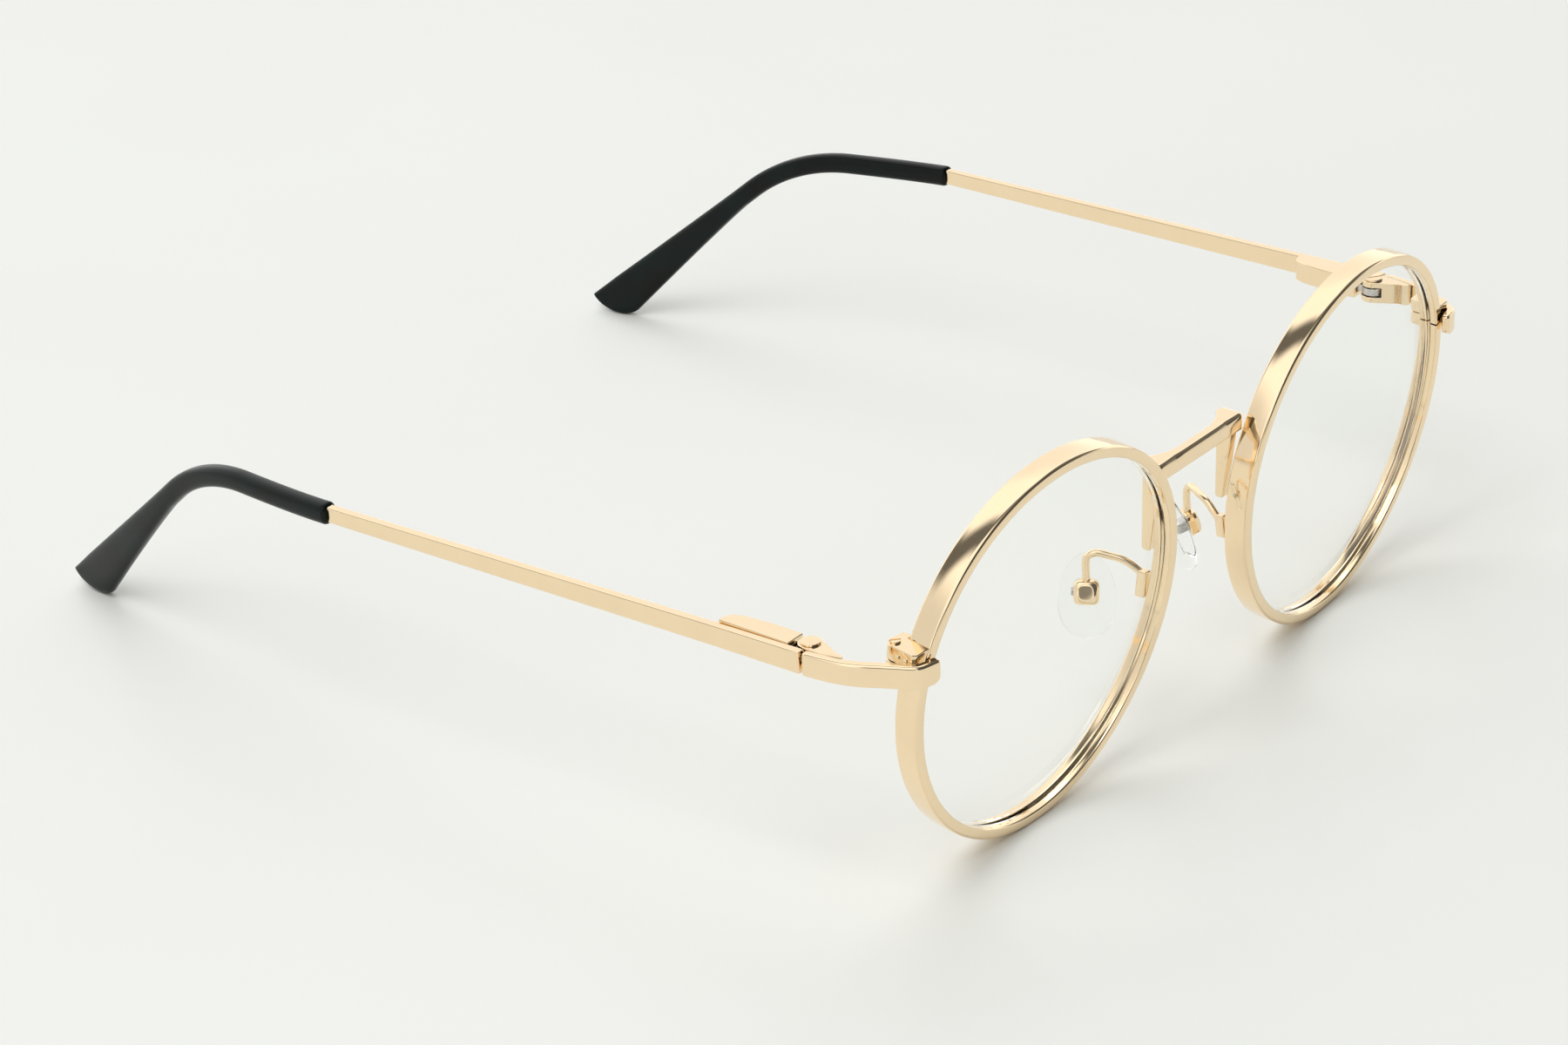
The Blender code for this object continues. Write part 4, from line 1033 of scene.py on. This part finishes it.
class EYEGLASSES_OT_bridge(bpy.types.Operator):
    """Make the bridge's bar and its two legs"""

    bl_idname = "eyeglasses.bridge"
    bl_label = "Bridge"

    def execute(self, context):
        plan = Plan()
        bar = make_object("bridge_bar", bridge_bar_shape(plan), 1)
        finish_piece(bar, polished_gold(), "front", ["bridge"], 60.0)
        for side, prefix in SIDES:
            leg = make_object(prefix + "bridge_leg", bridge_leg_shape(plan), side)
            round_edges(leg, 0.2 * MM)
            finish_piece(leg, polished_gold(), "front", ["bridge"])
        return {'FINISHED'}


# ---------------------------------------------------------------- nose pads

def pad_shape(plan):
    """A cushion-shaped oval, fuller at its lower end, flat where it meets its box."""
    pad = plan.pad
    face = plan.box_back() + pad.box_depth + pad.clearance
    count = 56
    layers = 16
    start = 0.12                # share of the half turn that the flat back takes away
    round_reach = 2.2 * MM      # how far the rounded border reaches in from the outline
    narrowing = 0.12            # share by which the upper end is narrower
    rings = []
    for layer in range(layers + 1):
        t = pi * (start + (1 - start) * layer / layers)
        depth = face + pad.thickness * (1 - cos(t)) / 2
        spread = sin(min(t, pi - 0.12)) ** 0.55
        inset = round_reach * (1 - spread)
        ring = []
        for i in range(count):
            turn = 2 * pi * i / count
            taper = 1.0 - narrowing * sin(turn)
            ring.append(plan.pad_frame @ Vector((
                (pad.width / 2 - inset) * cos(turn) * taper,
                depth,
                (pad.height / 2 - inset) * sin(turn) - pad.lower,
            )))
        rings.append(ring)
    return skin(rings)


FOOT_TUCK = 0.25 * MM           # inner side of the arm's foot inside the rim's inner face


def arm_route(plan):
    """The wire hooks up and back from its foot, and down onto the top of the box."""
    pad = plan.pad
    behind_rim = 0.3 * MM
    sunk = 0.1 * MM             # end of the wire inside the top of the box
    foot_top = plan.centre.z - pad.foot_drop
    low = plan.front_y(plan.inner_x, foot_top - pad.foot_height) + plan.rim.depth + behind_rim
    foot_x = plan.inner_x + (FOOT_TUCK + plan.rim.thickness) / 2
    start = Vector((foot_x, low + pad.foot_depth / 2, foot_top - pad.wire_radius * 1.6))
    middle = plan.box_back() + pad.box_depth * 0.55
    end = plan.pad_frame @ Vector((0.0, middle, pad.box_side / 2 - sunk))
    reach = end - start
    route = [start]
    for aside, back, rise in ((0.08, 0.16, 0.9), (0.26, 0.36, 1.75), (0.5, 0.6, 2.15),
                              (0.78, 0.84, 2.4), (0.97, 0.99, 1.75), (1.0, 1.02, 0.5)):
        route.append(start + Vector((reach.x * aside, reach.y * back, rise * MM)))
    route += [(route[-1] + end) / 2, end]
    return curve_through(route, 9)


class EYEGLASSES_OT_nose_pads(bpy.types.Operator):
    """Make the nose pads with their arms, boxes, pegs and screws"""

    bl_idname = "eyeglasses.nose_pads"
    bl_label = "Nose pads"

    def execute(self, context):
        plan = Plan()
        for side, prefix in SIDES:
            pad = make_object(prefix + "pad_cushion", pad_shape(plan), side)
            finish_piece(pad, clear_silicone(), prefix + "pad",
                         [prefix + "nose_pad"], 60.0)
            self.make_box(plan, side, prefix)
            self.make_arm(plan, side, prefix)
        return {'FINISHED'}

    def make_box(self, plan, side, prefix):
        """The square box on the arm, the pad's peg inside it and the screw across both."""
        sizes = plan.pad
        back = plan.box_back()
        front = back + sizes.box_depth
        half = sizes.box_side / 2
        place = plan.pad_frame
        inner = half - sizes.box_wall
        dome = 0.8 * MM
        corner_outside = 0.95 * MM
        corner_inside = 0.3 * MM
        layers = []
        for i in range(7):
            t = pi / 2 * i / 6
            layers.append((half - dome * (1 - sin(t)), back + dome * (1 - cos(t)), corner_outside))
        layers += [(half, front, corner_outside), (inner, front, corner_inside),
                   (inner, back + sizes.box_wall, corner_inside)]
        rings = []
        for reach, depth, corner in layers:
            outline = soften([(reach, reach), (-reach, reach), (-reach, -reach), (reach, -reach)],
                             corner, 6)
            rings.append([place @ Vector((x, depth, z)) for x, z in outline])
        box = make_object(prefix + "peg_box", skin(rings), side)
        finish_piece(box, polished_gold(), "front", [prefix + "pad_box"])
        peg_half = sizes.peg_side / 2
        in_pad = 1.4 * MM           # how far the peg reaches beyond the box, into the pad
        peg = make_object(prefix + "peg", block(
            (-peg_half, -peg_half, -peg_half), (peg_half, front + in_pad, peg_half), place), side)
        round_edges(peg, 0.2 * MM)
        finish_piece(peg, hinge_steel(), prefix + "pad", [prefix + "pad_peg"])
        across = place @ Matrix.Rotation(pi / 2, 4, 'Y') @ Matrix.Translation((0.0, 0.0, half))
        head_height = 0.32 * MM
        slot = (0.16 * MM, 0.12 * MM)
        shank = (sizes.screw_radius, sizes.box_side - 0.2 * MM)
        screw = slotted_head(prefix + "peg_screw", across, sizes.screw_radius * 2, head_height,
                             slot, side, shank, 28)
        finish_piece(screw, hinge_steel(), "front", [prefix + "pad_screw"])

    def make_arm(self, plan, side, prefix):
        """The foot behind the rim and the hooked wire."""
        sizes = plan.pad
        foot_top = plan.centre.z - sizes.foot_drop
        foot_low = foot_top - sizes.foot_height
        behind_rim = 0.2 * MM
        low_y = plan.front_y(plan.inner_x, foot_low) + plan.rim.depth + behind_rim
        rings = []
        for z in (foot_low, foot_top):
            outer = plan.centre.x - plan.rim_side(z - plan.centre.z)
            outline = [
                (outer + FOOT_TUCK, low_y),
                (outer + plan.rim.thickness, low_y),
                (outer + plan.rim.thickness, low_y + sizes.foot_depth),
                (outer + FOOT_TUCK, low_y + sizes.foot_depth),
            ]
            rings.append([Vector((x, y, z)) for x, y in outline])
        foot = make_object(prefix + "arm_foot", skin(rings), side)
        round_edges(foot, 0.25 * MM, 4)
        finish_piece(foot, polished_gold(), "front", [prefix + "pad_arm"])
        wire = make_object(prefix + "arm_wire", tube(arm_route(plan), sizes.wire_radius), side)
        finish_piece(wire, polished_gold(), "front", [prefix + "pad_arm"], 60.0)


# ---------------------------------------------------------------- end pieces and hinges

CARRIED_OVER = ("hinge_slider", "hinge_spring", "spring_stop")    # frame nodes shown as they are


def end_piece_shape(plan):
    """A strip swept from over the rim's front round to the hinge."""
    end = plan.end
    lap_x = plan.outer_x - end.lap
    before_rim = 0.3 * MM
    front = plan.front_y(lap_x, plan.mid_z + end.height / 2) - before_rim - end.thickness
    run = plan.end_rear_y - front
    points = [Vector((lap_x, front, 0.0)),
              Vector((lap_x + 0.55 * end.lap, front + 0.012 * run, 0.0))]
    bend = ((0.14, 0.045), (0.28, 0.105), (0.42, 0.215), (0.58, 0.345), (0.74, 0.47),
            (0.88, 0.63), (0.96, 0.81), (1.0, 1.0))
    for out, back in bend:      # shares of the reach outwards and of the run to the rear
        points.append(Vector((plan.outer_x + out * end.reach, front + back * run, 0.0)))
    route = curve_through(points, 10)
    half = end.height / 2
    low_edge = 0.2 * MM
    inner_edge = 0.15 * MM
    travelled = 0.0
    total = sum((b - a).length for a, b in zip(route, route[1:]))
    rings = []
    for i, (point, along) in enumerate(zip(route, directions(route))):
        if i:
            travelled += (point - route[i - 1]).length
        from_end = min(travelled, total - travelled)
        inset = 0.0
        if from_end < end.edge:
            inset = end.edge - sqrt(max(0.0, end.edge ** 2 - (end.edge - from_end) ** 2))
        low = -half + inset
        if travelled < end.corner * 1.8:
            low += end.corner * (1 - travelled / (end.corner * 1.8))
        inwards = UP.cross(along)
        section = soften([
            (inset, low),
            (end.thickness - inset, low),
            (end.thickness - inset, half - inset),
            (inset, half - inset),
        ], [low_edge, inner_edge, low_edge, end.edge], 5)
        rings.append([point + inwards * a + UP * (plan.mid_z + b) for a, b in section])
    return skin(rings)


def knuckle_outline(plan):
    """Round end about the axis, with a plate that tapers forward beside the strip."""
    hinge = plan.hinge
    strip_gap = 0.12 * MM
    bar_gap = 0.3 * MM
    beside = plan.beside_strip - strip_gap
    start = acos((plan.beside_bar - bar_gap) / hinge.knuckle_radius)
    finish = radians(215.0)     # where the round end runs into the tapered plate
    outline = []
    for i in range(25):
        turn = start + (finish - start) * i / 24
        outline.append((hinge.knuckle_radius * cos(turn), hinge.knuckle_radius * sin(turn)))
    front = -hinge.knuckle_length
    rounded_tail = ((1.45, 1.5), (1.3, 0.5), (1.05, 0.12), (0.7, 0.0))
    for aside, behind in rounded_tail:      # millimetres from the strip and from the front end
        outline.append((beside - aside * MM, front + behind * MM))
    outline.append((beside - 0.05 * MM, front * 0.5))
    outline.append((beside, -hinge.knuckle_radius * 0.4))
    return outline


def housing_outline(plan):
    """A case that is broad at the hinge and tapers along the inside of the temple."""
    hinge = plan.hinge
    front = hinge.knuckle_radius + hinge.housing_gap
    rear = front + hinge.housing_length
    middle = plan.slider_middle()
    inner = middle - hinge.slider_width / 2 - hinge.clearance - hinge.housing_wall
    bar_gap = 0.06 * MM
    beside = plan.beside_bar - bar_gap
    corners = [
        ((beside, front), 0),
        ((beside, rear), 0),
        ((middle + 0.55 * MM, rear), 0.45 * MM),
        ((middle - 0.35 * MM, rear - 0.5 * MM), 0.5 * MM),
        ((middle - 0.95 * MM, rear - 2.2 * MM), 0.9 * MM),
        ((inner, front + 0.42 * hinge.housing_length), 1.5 * MM),
        ((inner, front), 0),
    ]
    return soften([corner for corner, _ in corners], [reach for _, reach in corners], 3)


def housing_bore(plan):
    """Room for the slider's thick part, then for its rod and spring."""
    hinge = plan.hinge
    middle = plan.slider_middle()
    wide = hinge.slider_width / 2 + hinge.clearance
    narrow = 0.66 * MM          # half the room for the rod and the spring
    wide_length = 3.9 * MM
    slant = 0.2 * MM
    end_wall = 1.2 * MM
    front = hinge.knuckle_radius
    step = front + wide_length
    rear = front + hinge.housing_length - end_wall
    return [
        (middle - wide, front),
        (middle + wide, front),
        (middle + wide, step),
        (middle + narrow, step + slant),
        (middle + narrow, rear),
        (middle - narrow, rear),
        (middle - narrow, step + slant),
        (middle - wide, step),
    ]


class EYEGLASSES_OT_end_pieces(bpy.types.Operator):
    """Make the strips that run from the rims round to the hinges"""

    bl_idname = "eyeglasses.end_pieces"
    bl_label = "End pieces"

    def execute(self, context):
        plan = Plan()
        for side, prefix in SIDES:
            piece = make_object(prefix + "end_strip", end_piece_shape(plan), side)
            finish_piece(piece, polished_gold(), "front",
                         [prefix + "end_piece"], 50.0)
        return {'FINISHED'}


class EYEGLASSES_OT_hinges(bpy.types.Operator):
    """Make the knuckles, hinge screws and spring housings, and finish the slides inside"""

    bl_idname = "eyeglasses.hinges"
    bl_label = "Spring hinges"

    def execute(self, context):
        plan = Plan()
        hinge = plan.hinge
        place = Matrix.Translation(plan.hinge_axis)
        half = hinge.knuckle_plate + hinge.eye_height / 2 + hinge.clearance
        room = hinge.eye_height / 2 + hinge.clearance
        for side, prefix in SIDES:
            knuckles = make_object(prefix + "knuckles",
                                   prism(knuckle_outline(plan), -half, half, place), side)
            reach = hinge.knuckle_radius + hinge.clearance
            cut(knuckles, block((-3 * reach, -reach, -room), (3 * reach, 3 * reach, room), place),
                side)
            round_edges(knuckles, 0.12 * MM)
            finish_piece(knuckles, polished_gold(), "front",
                         [prefix + "hinge_knuckles"])
            head_gap = 0.02 * MM
            under_head = place @ Matrix.Translation((0.0, 0.0, half + head_gap))
            screw = slotted_head(prefix + "hinge_bolt",
                                 under_head @ Matrix.Rotation(radians(-38.0), 4, 'Z'),
                                 hinge.head_radius, hinge.head_height,
                                 (hinge.slot_width, hinge.slot_depth), side,
                                 (hinge.shank_radius, 2 * half))
            finish_piece(screw, polished_gold(), prefix + "pivot",
                         [prefix + "hinge_screw"])
            self.make_housing(plan, side, prefix, place)
            for node in CARRIED_OVER:
                inside = frame["nodes"][prefix + node]
                inside.data.materials.clear()
                inside.data.materials.append(hinge_steel())
        return {'FINISHED'}

    def make_housing(self, plan, side, prefix, place):
        """The case of the spring, open at its front for the slider."""
        hinge = plan.hinge
        half = plan.temple.height / 2
        housing = make_object(prefix + "spring_case",
                              prism(housing_outline(plan), -half, half, place), side)
        high = hinge.eye_height / 2 + hinge.clearance
        cut(housing, prism(housing_bore(plan), -high, high, place), side)
        round_edges(housing, 0.16 * MM)
        finish_piece(housing, polished_gold(), prefix + "temple",
                     [prefix + "spring_housing"])


# ---------------------------------------------------------------- temples and tips

def flat_section(thick, half, edge):
    return soften([(thick, -half), (thick, half), (-thick, half), (-thick, -half)], edge, 4)


def temple_bar_shape(plan):
    """A flat bar with crisp rounded edges, then the thin core that runs on inside the tip."""
    temple = plan.temple
    thick = temple.thickness / 2
    rings = []
    edge = 0.26 * MM
    mouth_gap = 0.1 * MM
    step = 0.05 * MM            # stretch over which the bar steps down to its core
    end = plan.mouth_y - mouth_gap
    stations = [(0.0, 0.06), (0.05, 0.02), (0.12, 0.0)]
    stations += [(2.0 + 2.0 * i, 0.0) for i in range(37)]
    for along, inset in stations:
        y = plan.butt_y + along * MM
        run = (y - plan.butt_y) / (end - plan.butt_y)
        half = (temple.height + (temple.rear_height - temple.height) * run) / 2
        section = flat_section(thick - inset * MM, half - inset * MM, edge)
        z = plan.temple_z(y)
        rings.append([Vector((plan.bar_x(y) + a, y, z + b)) for a, b in section])
    half = temple.rear_height / 2
    middle = plan.bar_x(end)
    section = flat_section(thick, half, edge)
    rings.append([Vector((middle + a, end, plan.temple_z(end) + b)) for a, b in section])
    core = flat_section(temple.core_thickness / 2, temple.core_height / 2, edge)
    rings.append([Vector((middle + a, end + step, plan.temple_z(end) + b)) for a, b in core])
    core_end = plan.tip_length - temple.core_short
    count = 40
    for i in range(1, count + 1):
        y, z, slope = plan.tip_place(core_end * i / count)
        upward = Vector((0.0, sin(slope), cos(slope)))
        centre = Vector((plan.tip_x(y), y, z))
        rings.append([centre + Vector((a, 0.0, 0.0)) + upward * b for a, b in core])
    return skin(rings)


def tip_section(count, half_x, low, high, power):
    """A soft rectangle, half_x to each side, from -low to +high."""
    middle = (high - low) / 2
    half_z = (high + low) / 2
    section = []
    for i in range(count):
        turn = 2 * pi * i / count
        c, s = cos(turn), sin(turn)
        across = half_x * (1 if c > 0 else -1) * abs(c) ** power
        section.append((across, middle + half_z * (1 if s > 0 else -1) * abs(s) ** power))
    return section


def tip_shape(plan):
    """The sleeve, its bend and its paddle, bored for the core."""
    temple = plan.temple
    count = 48
    thick = temple.tip_thickness / 2
    core_gap = 0.15 * MM
    bore_x = temple.core_thickness / 2 + core_gap
    bore_z = temple.core_height / 2 + core_gap

    def ring(travel, half_x, low, high, power=0.72):
        y, z, slope = plan.tip_place(travel)
        upward = Vector((0.0, sin(slope), cos(slope)))
        centre = Vector((plan.tip_x(y), y, z))
        return [centre + Vector((a, 0.0, 0.0)) + upward * b
                for a, b in tip_section(count, half_x, low, high, power)]

    past_core = 0.2 * MM
    mouth_round = 0.55 * MM
    bore_end = plan.tip_length - temple.core_short + past_core
    bore_steps = 24
    rings = [ring(bore_end * (1 - i / bore_steps), bore_x, bore_z, bore_z)
             for i in range(bore_steps + 1)]
    half = temple.tip_height / 2
    for i in range(9):
        t = pi / 2 * i / 8
        grow = 0.72 + 0.28 * sin(t)
        rings.append(ring(mouth_round * (1 - cos(t)), thick * grow, half * grow, half * grow))
    steps = 84
    start = 1.0 * MM
    for i in range(steps + 1):
        travel = start + (plan.tip_length - temple.paddle_end - start) * i / steps
        rings.append(ring(travel, *tip_sizes(plan, travel)))
    for i in range(1, 15):
        travel = plan.tip_length - temple.paddle_end + temple.paddle_end * sin(pi / 2 * i / 14)
        rings.append(ring(travel, *tip_sizes(plan, travel)))
    return skin(rings)


def tip_sizes(plan, travel):
    """Half thickness, and reach below and above the middle line, at a distance along the tip."""
    temple = plan.temple
    low, high = plan.tip_reach(travel)
    widened = (low + high - temple.tip_height) / (temple.paddle_height - temple.tip_height)
    half_x = temple.tip_thickness / 2 * (1.0 - 0.2 * min(1.0, max(0.0, widened)))
    over = (travel - (plan.tip_length - temple.paddle_end)) / temple.paddle_end
    if over > 0:
        half_x *= 0.4 + 0.6 * (1 - over ** 2) ** 0.3 if over < 1 else 0.4
    return half_x, low, high


class EYEGLASSES_OT_temples(bpy.types.Operator):
    """Make the temple bars"""

    bl_idname = "eyeglasses.temples"
    bl_label = "Temple bars"

    def execute(self, context):
        plan = Plan()
        for side, prefix in SIDES:
            piece = make_object(prefix + "bar", temple_bar_shape(plan), side)
            finish_piece(piece, polished_gold(), prefix + "temple",
                         [prefix + "temple_bar"], 50.0)
        return {'FINISHED'}


class EYEGLASSES_OT_tips(bpy.types.Operator):
    """Make the black temple tips"""

    bl_idname = "eyeglasses.tips"
    bl_label = "Temple tips"

    def execute(self, context):
        plan = Plan()
        for side, prefix in SIDES:
            piece = make_object(prefix + "ear_tip", tip_shape(plan), side)
            finish_piece(piece, black_acetate(), prefix + "temple",
                         [prefix + "temple_tip"], 60.0)
        return {'FINISHED'}


# ---------------------------------------------------------------- stage

SENSOR_WIDTH = 36.0             # millimetres, as the camera takes it
LENS_LENGTH = 100.27            # millimetres
CAMERA_AZIMUTH = -51.039        # degrees, from the front towards the glasses' left
CAMERA_ELEVATION = 26.928       # degrees above the table
CAMERA_ROLL = -2.219            # degrees off level
CAMERA_PLACE = Vector((-420.32, -344.94, 283.36)) * MM


def pointing(azimuth, elevation):
    """Unit vector at an azimuth, 0 in front of the glasses and 90 to their left, and a height."""
    turn, rise = radians(azimuth), radians(elevation)
    return Vector((sin(turn) * cos(rise), -cos(turn) * cos(rise), sin(rise)))


class EYEGLASSES_OT_stage(bpy.types.Operator):
    """Make the pale table, the soft studio light and the camera"""

    bl_idname = "eyeglasses.stage"
    bl_label = "Stage"

    def execute(self, context):
        self.make_floor()
        self.make_room(context)
        self.make_softbox("softbox_left", pointing(-78.0, 60.0), 1.0, 0.42, 1.9)
        self.make_softbox("softbox_right", pointing(150.0, 50.0), 1.3, 0.8, 3.2)
        self.make_camera(context)
        context.scene.view_settings.view_transform = 'Standard'
        return {'FINISHED'}

    def make_floor(self):
        """A wide sheet of pale, faintly uneven paper."""
        tints = bpy.context.scene.eyeglasses_finishes
        half = 4.0
        corners = [(-half, -half), (half, -half), (half, half), (-half, half)]
        mesh = bpy.data.meshes.new("floor")
        mesh.from_pydata([(x, y, 0.0) for x, y in corners], [], [(0, 1, 2, 3)])
        floor = bpy.data.objects.new("floor", mesh)
        bpy.context.scene.collection.objects.link(floor)
        made, graph = new_material("table_paper")
        fibre = graph.noise(graph.place(), 2.5 * MM, 4.0)
        cloud = graph.noise(graph.place(), 90.0 * MM, 2.0)
        pale = opaque(tints.floor)
        dim = (pale[0] * 0.985, pale[1] * 0.985, pale[2] * 0.98, 1.0)
        shader = graph.node("ShaderNodeBsdfPrincipled", None, {
            "Base Color": graph.mix_colours(cloud.between(0.3, 0.7), pale, dim),
            "Roughness": 0.62 + 0.1 * fibre,
            "Specular IOR Level": 0.2,
        })
        graph.surface(shader)
        mesh.materials.append(made)

    def make_room(self, context):
        """A bright studio, dark in front and above, with a dark gap between its two halves."""
        world = bpy.data.worlds.new("studio")
        context.scene.world = world
        world.use_nodes = True
        graph = Graph(world.node_tree)
        sky = graph.node("ShaderNodeTexCoord")

        def towards(azimuth, elevation, inner, outer):
            """1 within inner degrees of a direction, 0 beyond outer degrees."""
            aim = pointing(azimuth, elevation)
            near = graph.node("ShaderNodeVectorMath", {"operation": 'DOT_PRODUCT'},
                              {0: sky, 1: aim}, output=1)
            return near.between(cos(radians(outer)), cos(radians(inner)))

        room = towards(8.0, 26.0, 40.0, 58.0)
        across = graph.node("ShaderNodeVectorMath", {"operation": 'DOT_PRODUCT'},
                            {0: sky, 1: (0.755, 0.647, -0.1025)}, output=1)
        high = graph.node("ShaderNodeVectorMath", {"operation": 'DOT_PRODUCT'},
                          {0: sky, 1: UP}, output=1).between(0.45, 0.65)
        gap = high * (1 - across.math('ABSOLUTE', across).between(0.06, 0.2))
        low_left = towards(-124.0, 12.0, 12.0, 38.0)
        brow = towards(66.0, 40.0, 18.0, 30.0)
        rear = towards(131.0, 30.0, 8.0, 26.0)
        overhead = towards(30.0, 68.0, 14.0, 30.0)
        behind_camera = towards(-64.0, 12.0, 8.0, 18.0)
        bright = 1.25 - 0.44 * low_left - 0.2 * rear
        dark = room.math('MAXIMUM', room * 0.93, gap * 0.88)
        for patch in (brow * 0.88, overhead * 0.7, behind_camera * 0.8):
            dark = dark.math('MAXIMUM', dark, patch)
        strength = bright * (1 - dark)
        seen = graph.node("ShaderNodeLightPath", output="Is Camera Ray")
        lit = graph.node("ShaderNodeBackground", None,
                         {"Color": (1.0, 1.0, 0.985, 1.0), "Strength": strength})
        plain = graph.node("ShaderNodeBackground", None,
                           {"Color": (0.90, 0.905, 0.875, 1.0), "Strength": 1.0})
        mixed = graph.node("ShaderNodeMixShader", None, {0: seen, 1: lit, 2: plain})
        graph.node("ShaderNodeOutputWorld", None, {"Surface": mixed})

    def make_softbox(self, name, direction, distance, size, watts):
        """A square lamp at a distance from the origin, turned to face it."""
        light = bpy.data.lights.new(name, 'AREA')
        light.shape = 'SQUARE'
        light.size = size
        light.energy = watts
        box = bpy.data.objects.new(name, light)
        box.location = direction * distance
        box.visible_glossy = False      # the studio alone shows in the polished metal
        box.rotation_euler = (-direction).to_track_quat('-Z', 'Y').to_euler()
        bpy.context.scene.collection.objects.link(box)

    def make_camera(self, context):
        """A long lens from the front right, a little above, turned slightly off level."""
        view = bpy.data.cameras.new("camera")
        view.sensor_width = SENSOR_WIDTH
        view.lens = LENS_LENGTH
        camera = bpy.data.objects.new("camera", view)
        back = pointing(CAMERA_AZIMUTH, CAMERA_ELEVATION)
        right = (-back).cross(UP).normalized()
        upward = right.cross(-back)
        roll = radians(CAMERA_ROLL)
        x_axis = right * cos(roll) + upward * sin(roll)
        y_axis = upward * cos(roll) - right * sin(roll)
        turned_to = Matrix((x_axis, y_axis, back)).transposed()
        camera.matrix_world = Matrix.Translation(CAMERA_PLACE) @ turned_to.to_4x4()
        view.clip_start = 0.01
        view.clip_end = 20.0
        context.scene.collection.objects.link(camera)
        context.scene.camera = camera


# ---------------------------------------------------------------- panel and registration

OPERATORS = (
    EYEGLASSES_OT_rims,
    EYEGLASSES_OT_lenses,
    EYEGLASSES_OT_closing_blocks,
    EYEGLASSES_OT_bridge,
    EYEGLASSES_OT_nose_pads,
    EYEGLASSES_OT_end_pieces,
    EYEGLASSES_OT_hinges,
    EYEGLASSES_OT_temples,
    EYEGLASSES_OT_tips,
    EYEGLASSES_OT_stage,
)
SETTINGS = {
    "eyeglasses_rim": RimSizes,
    "eyeglasses_block": BlockSizes,
    "eyeglasses_bridge": BridgeSizes,
    "eyeglasses_pad": PadSizes,
    "eyeglasses_end": EndSizes,
    "eyeglasses_hinge": HingeSizes,
    "eyeglasses_temple": TempleSizes,
    "eyeglasses_finishes": Finishes,
}


class EYEGLASSES_PT_panel(bpy.types.Panel):
    """Lists the sizes, the finishes and the pieces"""

    bl_idname = "EYEGLASSES_PT_panel"
    bl_label = "Eyeglasses"
    bl_space_type = 'VIEW_3D'
    bl_region_type = 'UI'
    bl_category = "Eyeglasses"

    def draw(self, context):
        for name, group in SETTINGS.items():
            column = self.layout.column(align=True)
            settings = getattr(context.scene, name)
            for key in group.__annotations__:
                column.prop(settings, key)
        for operator in OPERATORS:
            self.layout.operator(operator.bl_idname)


def register():
    for name, group in SETTINGS.items():
        bpy.utils.register_class(group)
        setattr(bpy.types.Scene, name, PointerProperty(type=group))
    for operator in OPERATORS:
        bpy.utils.register_class(operator)
    bpy.utils.register_class(EYEGLASSES_PT_panel)


def unregister():
    bpy.utils.unregister_class(EYEGLASSES_PT_panel)
    for operator in reversed(OPERATORS):
        bpy.utils.unregister_class(operator)
    for name, group in reversed(SETTINGS.items()):
        delattr(bpy.types.Scene, name)
        bpy.utils.unregister_class(group)


def main():
    register()
    for operator in OPERATORS:
        group, action = operator.bl_idname.split(".")
        getattr(getattr(bpy.ops, group), action)()


if __name__ == "__main__":
    main()
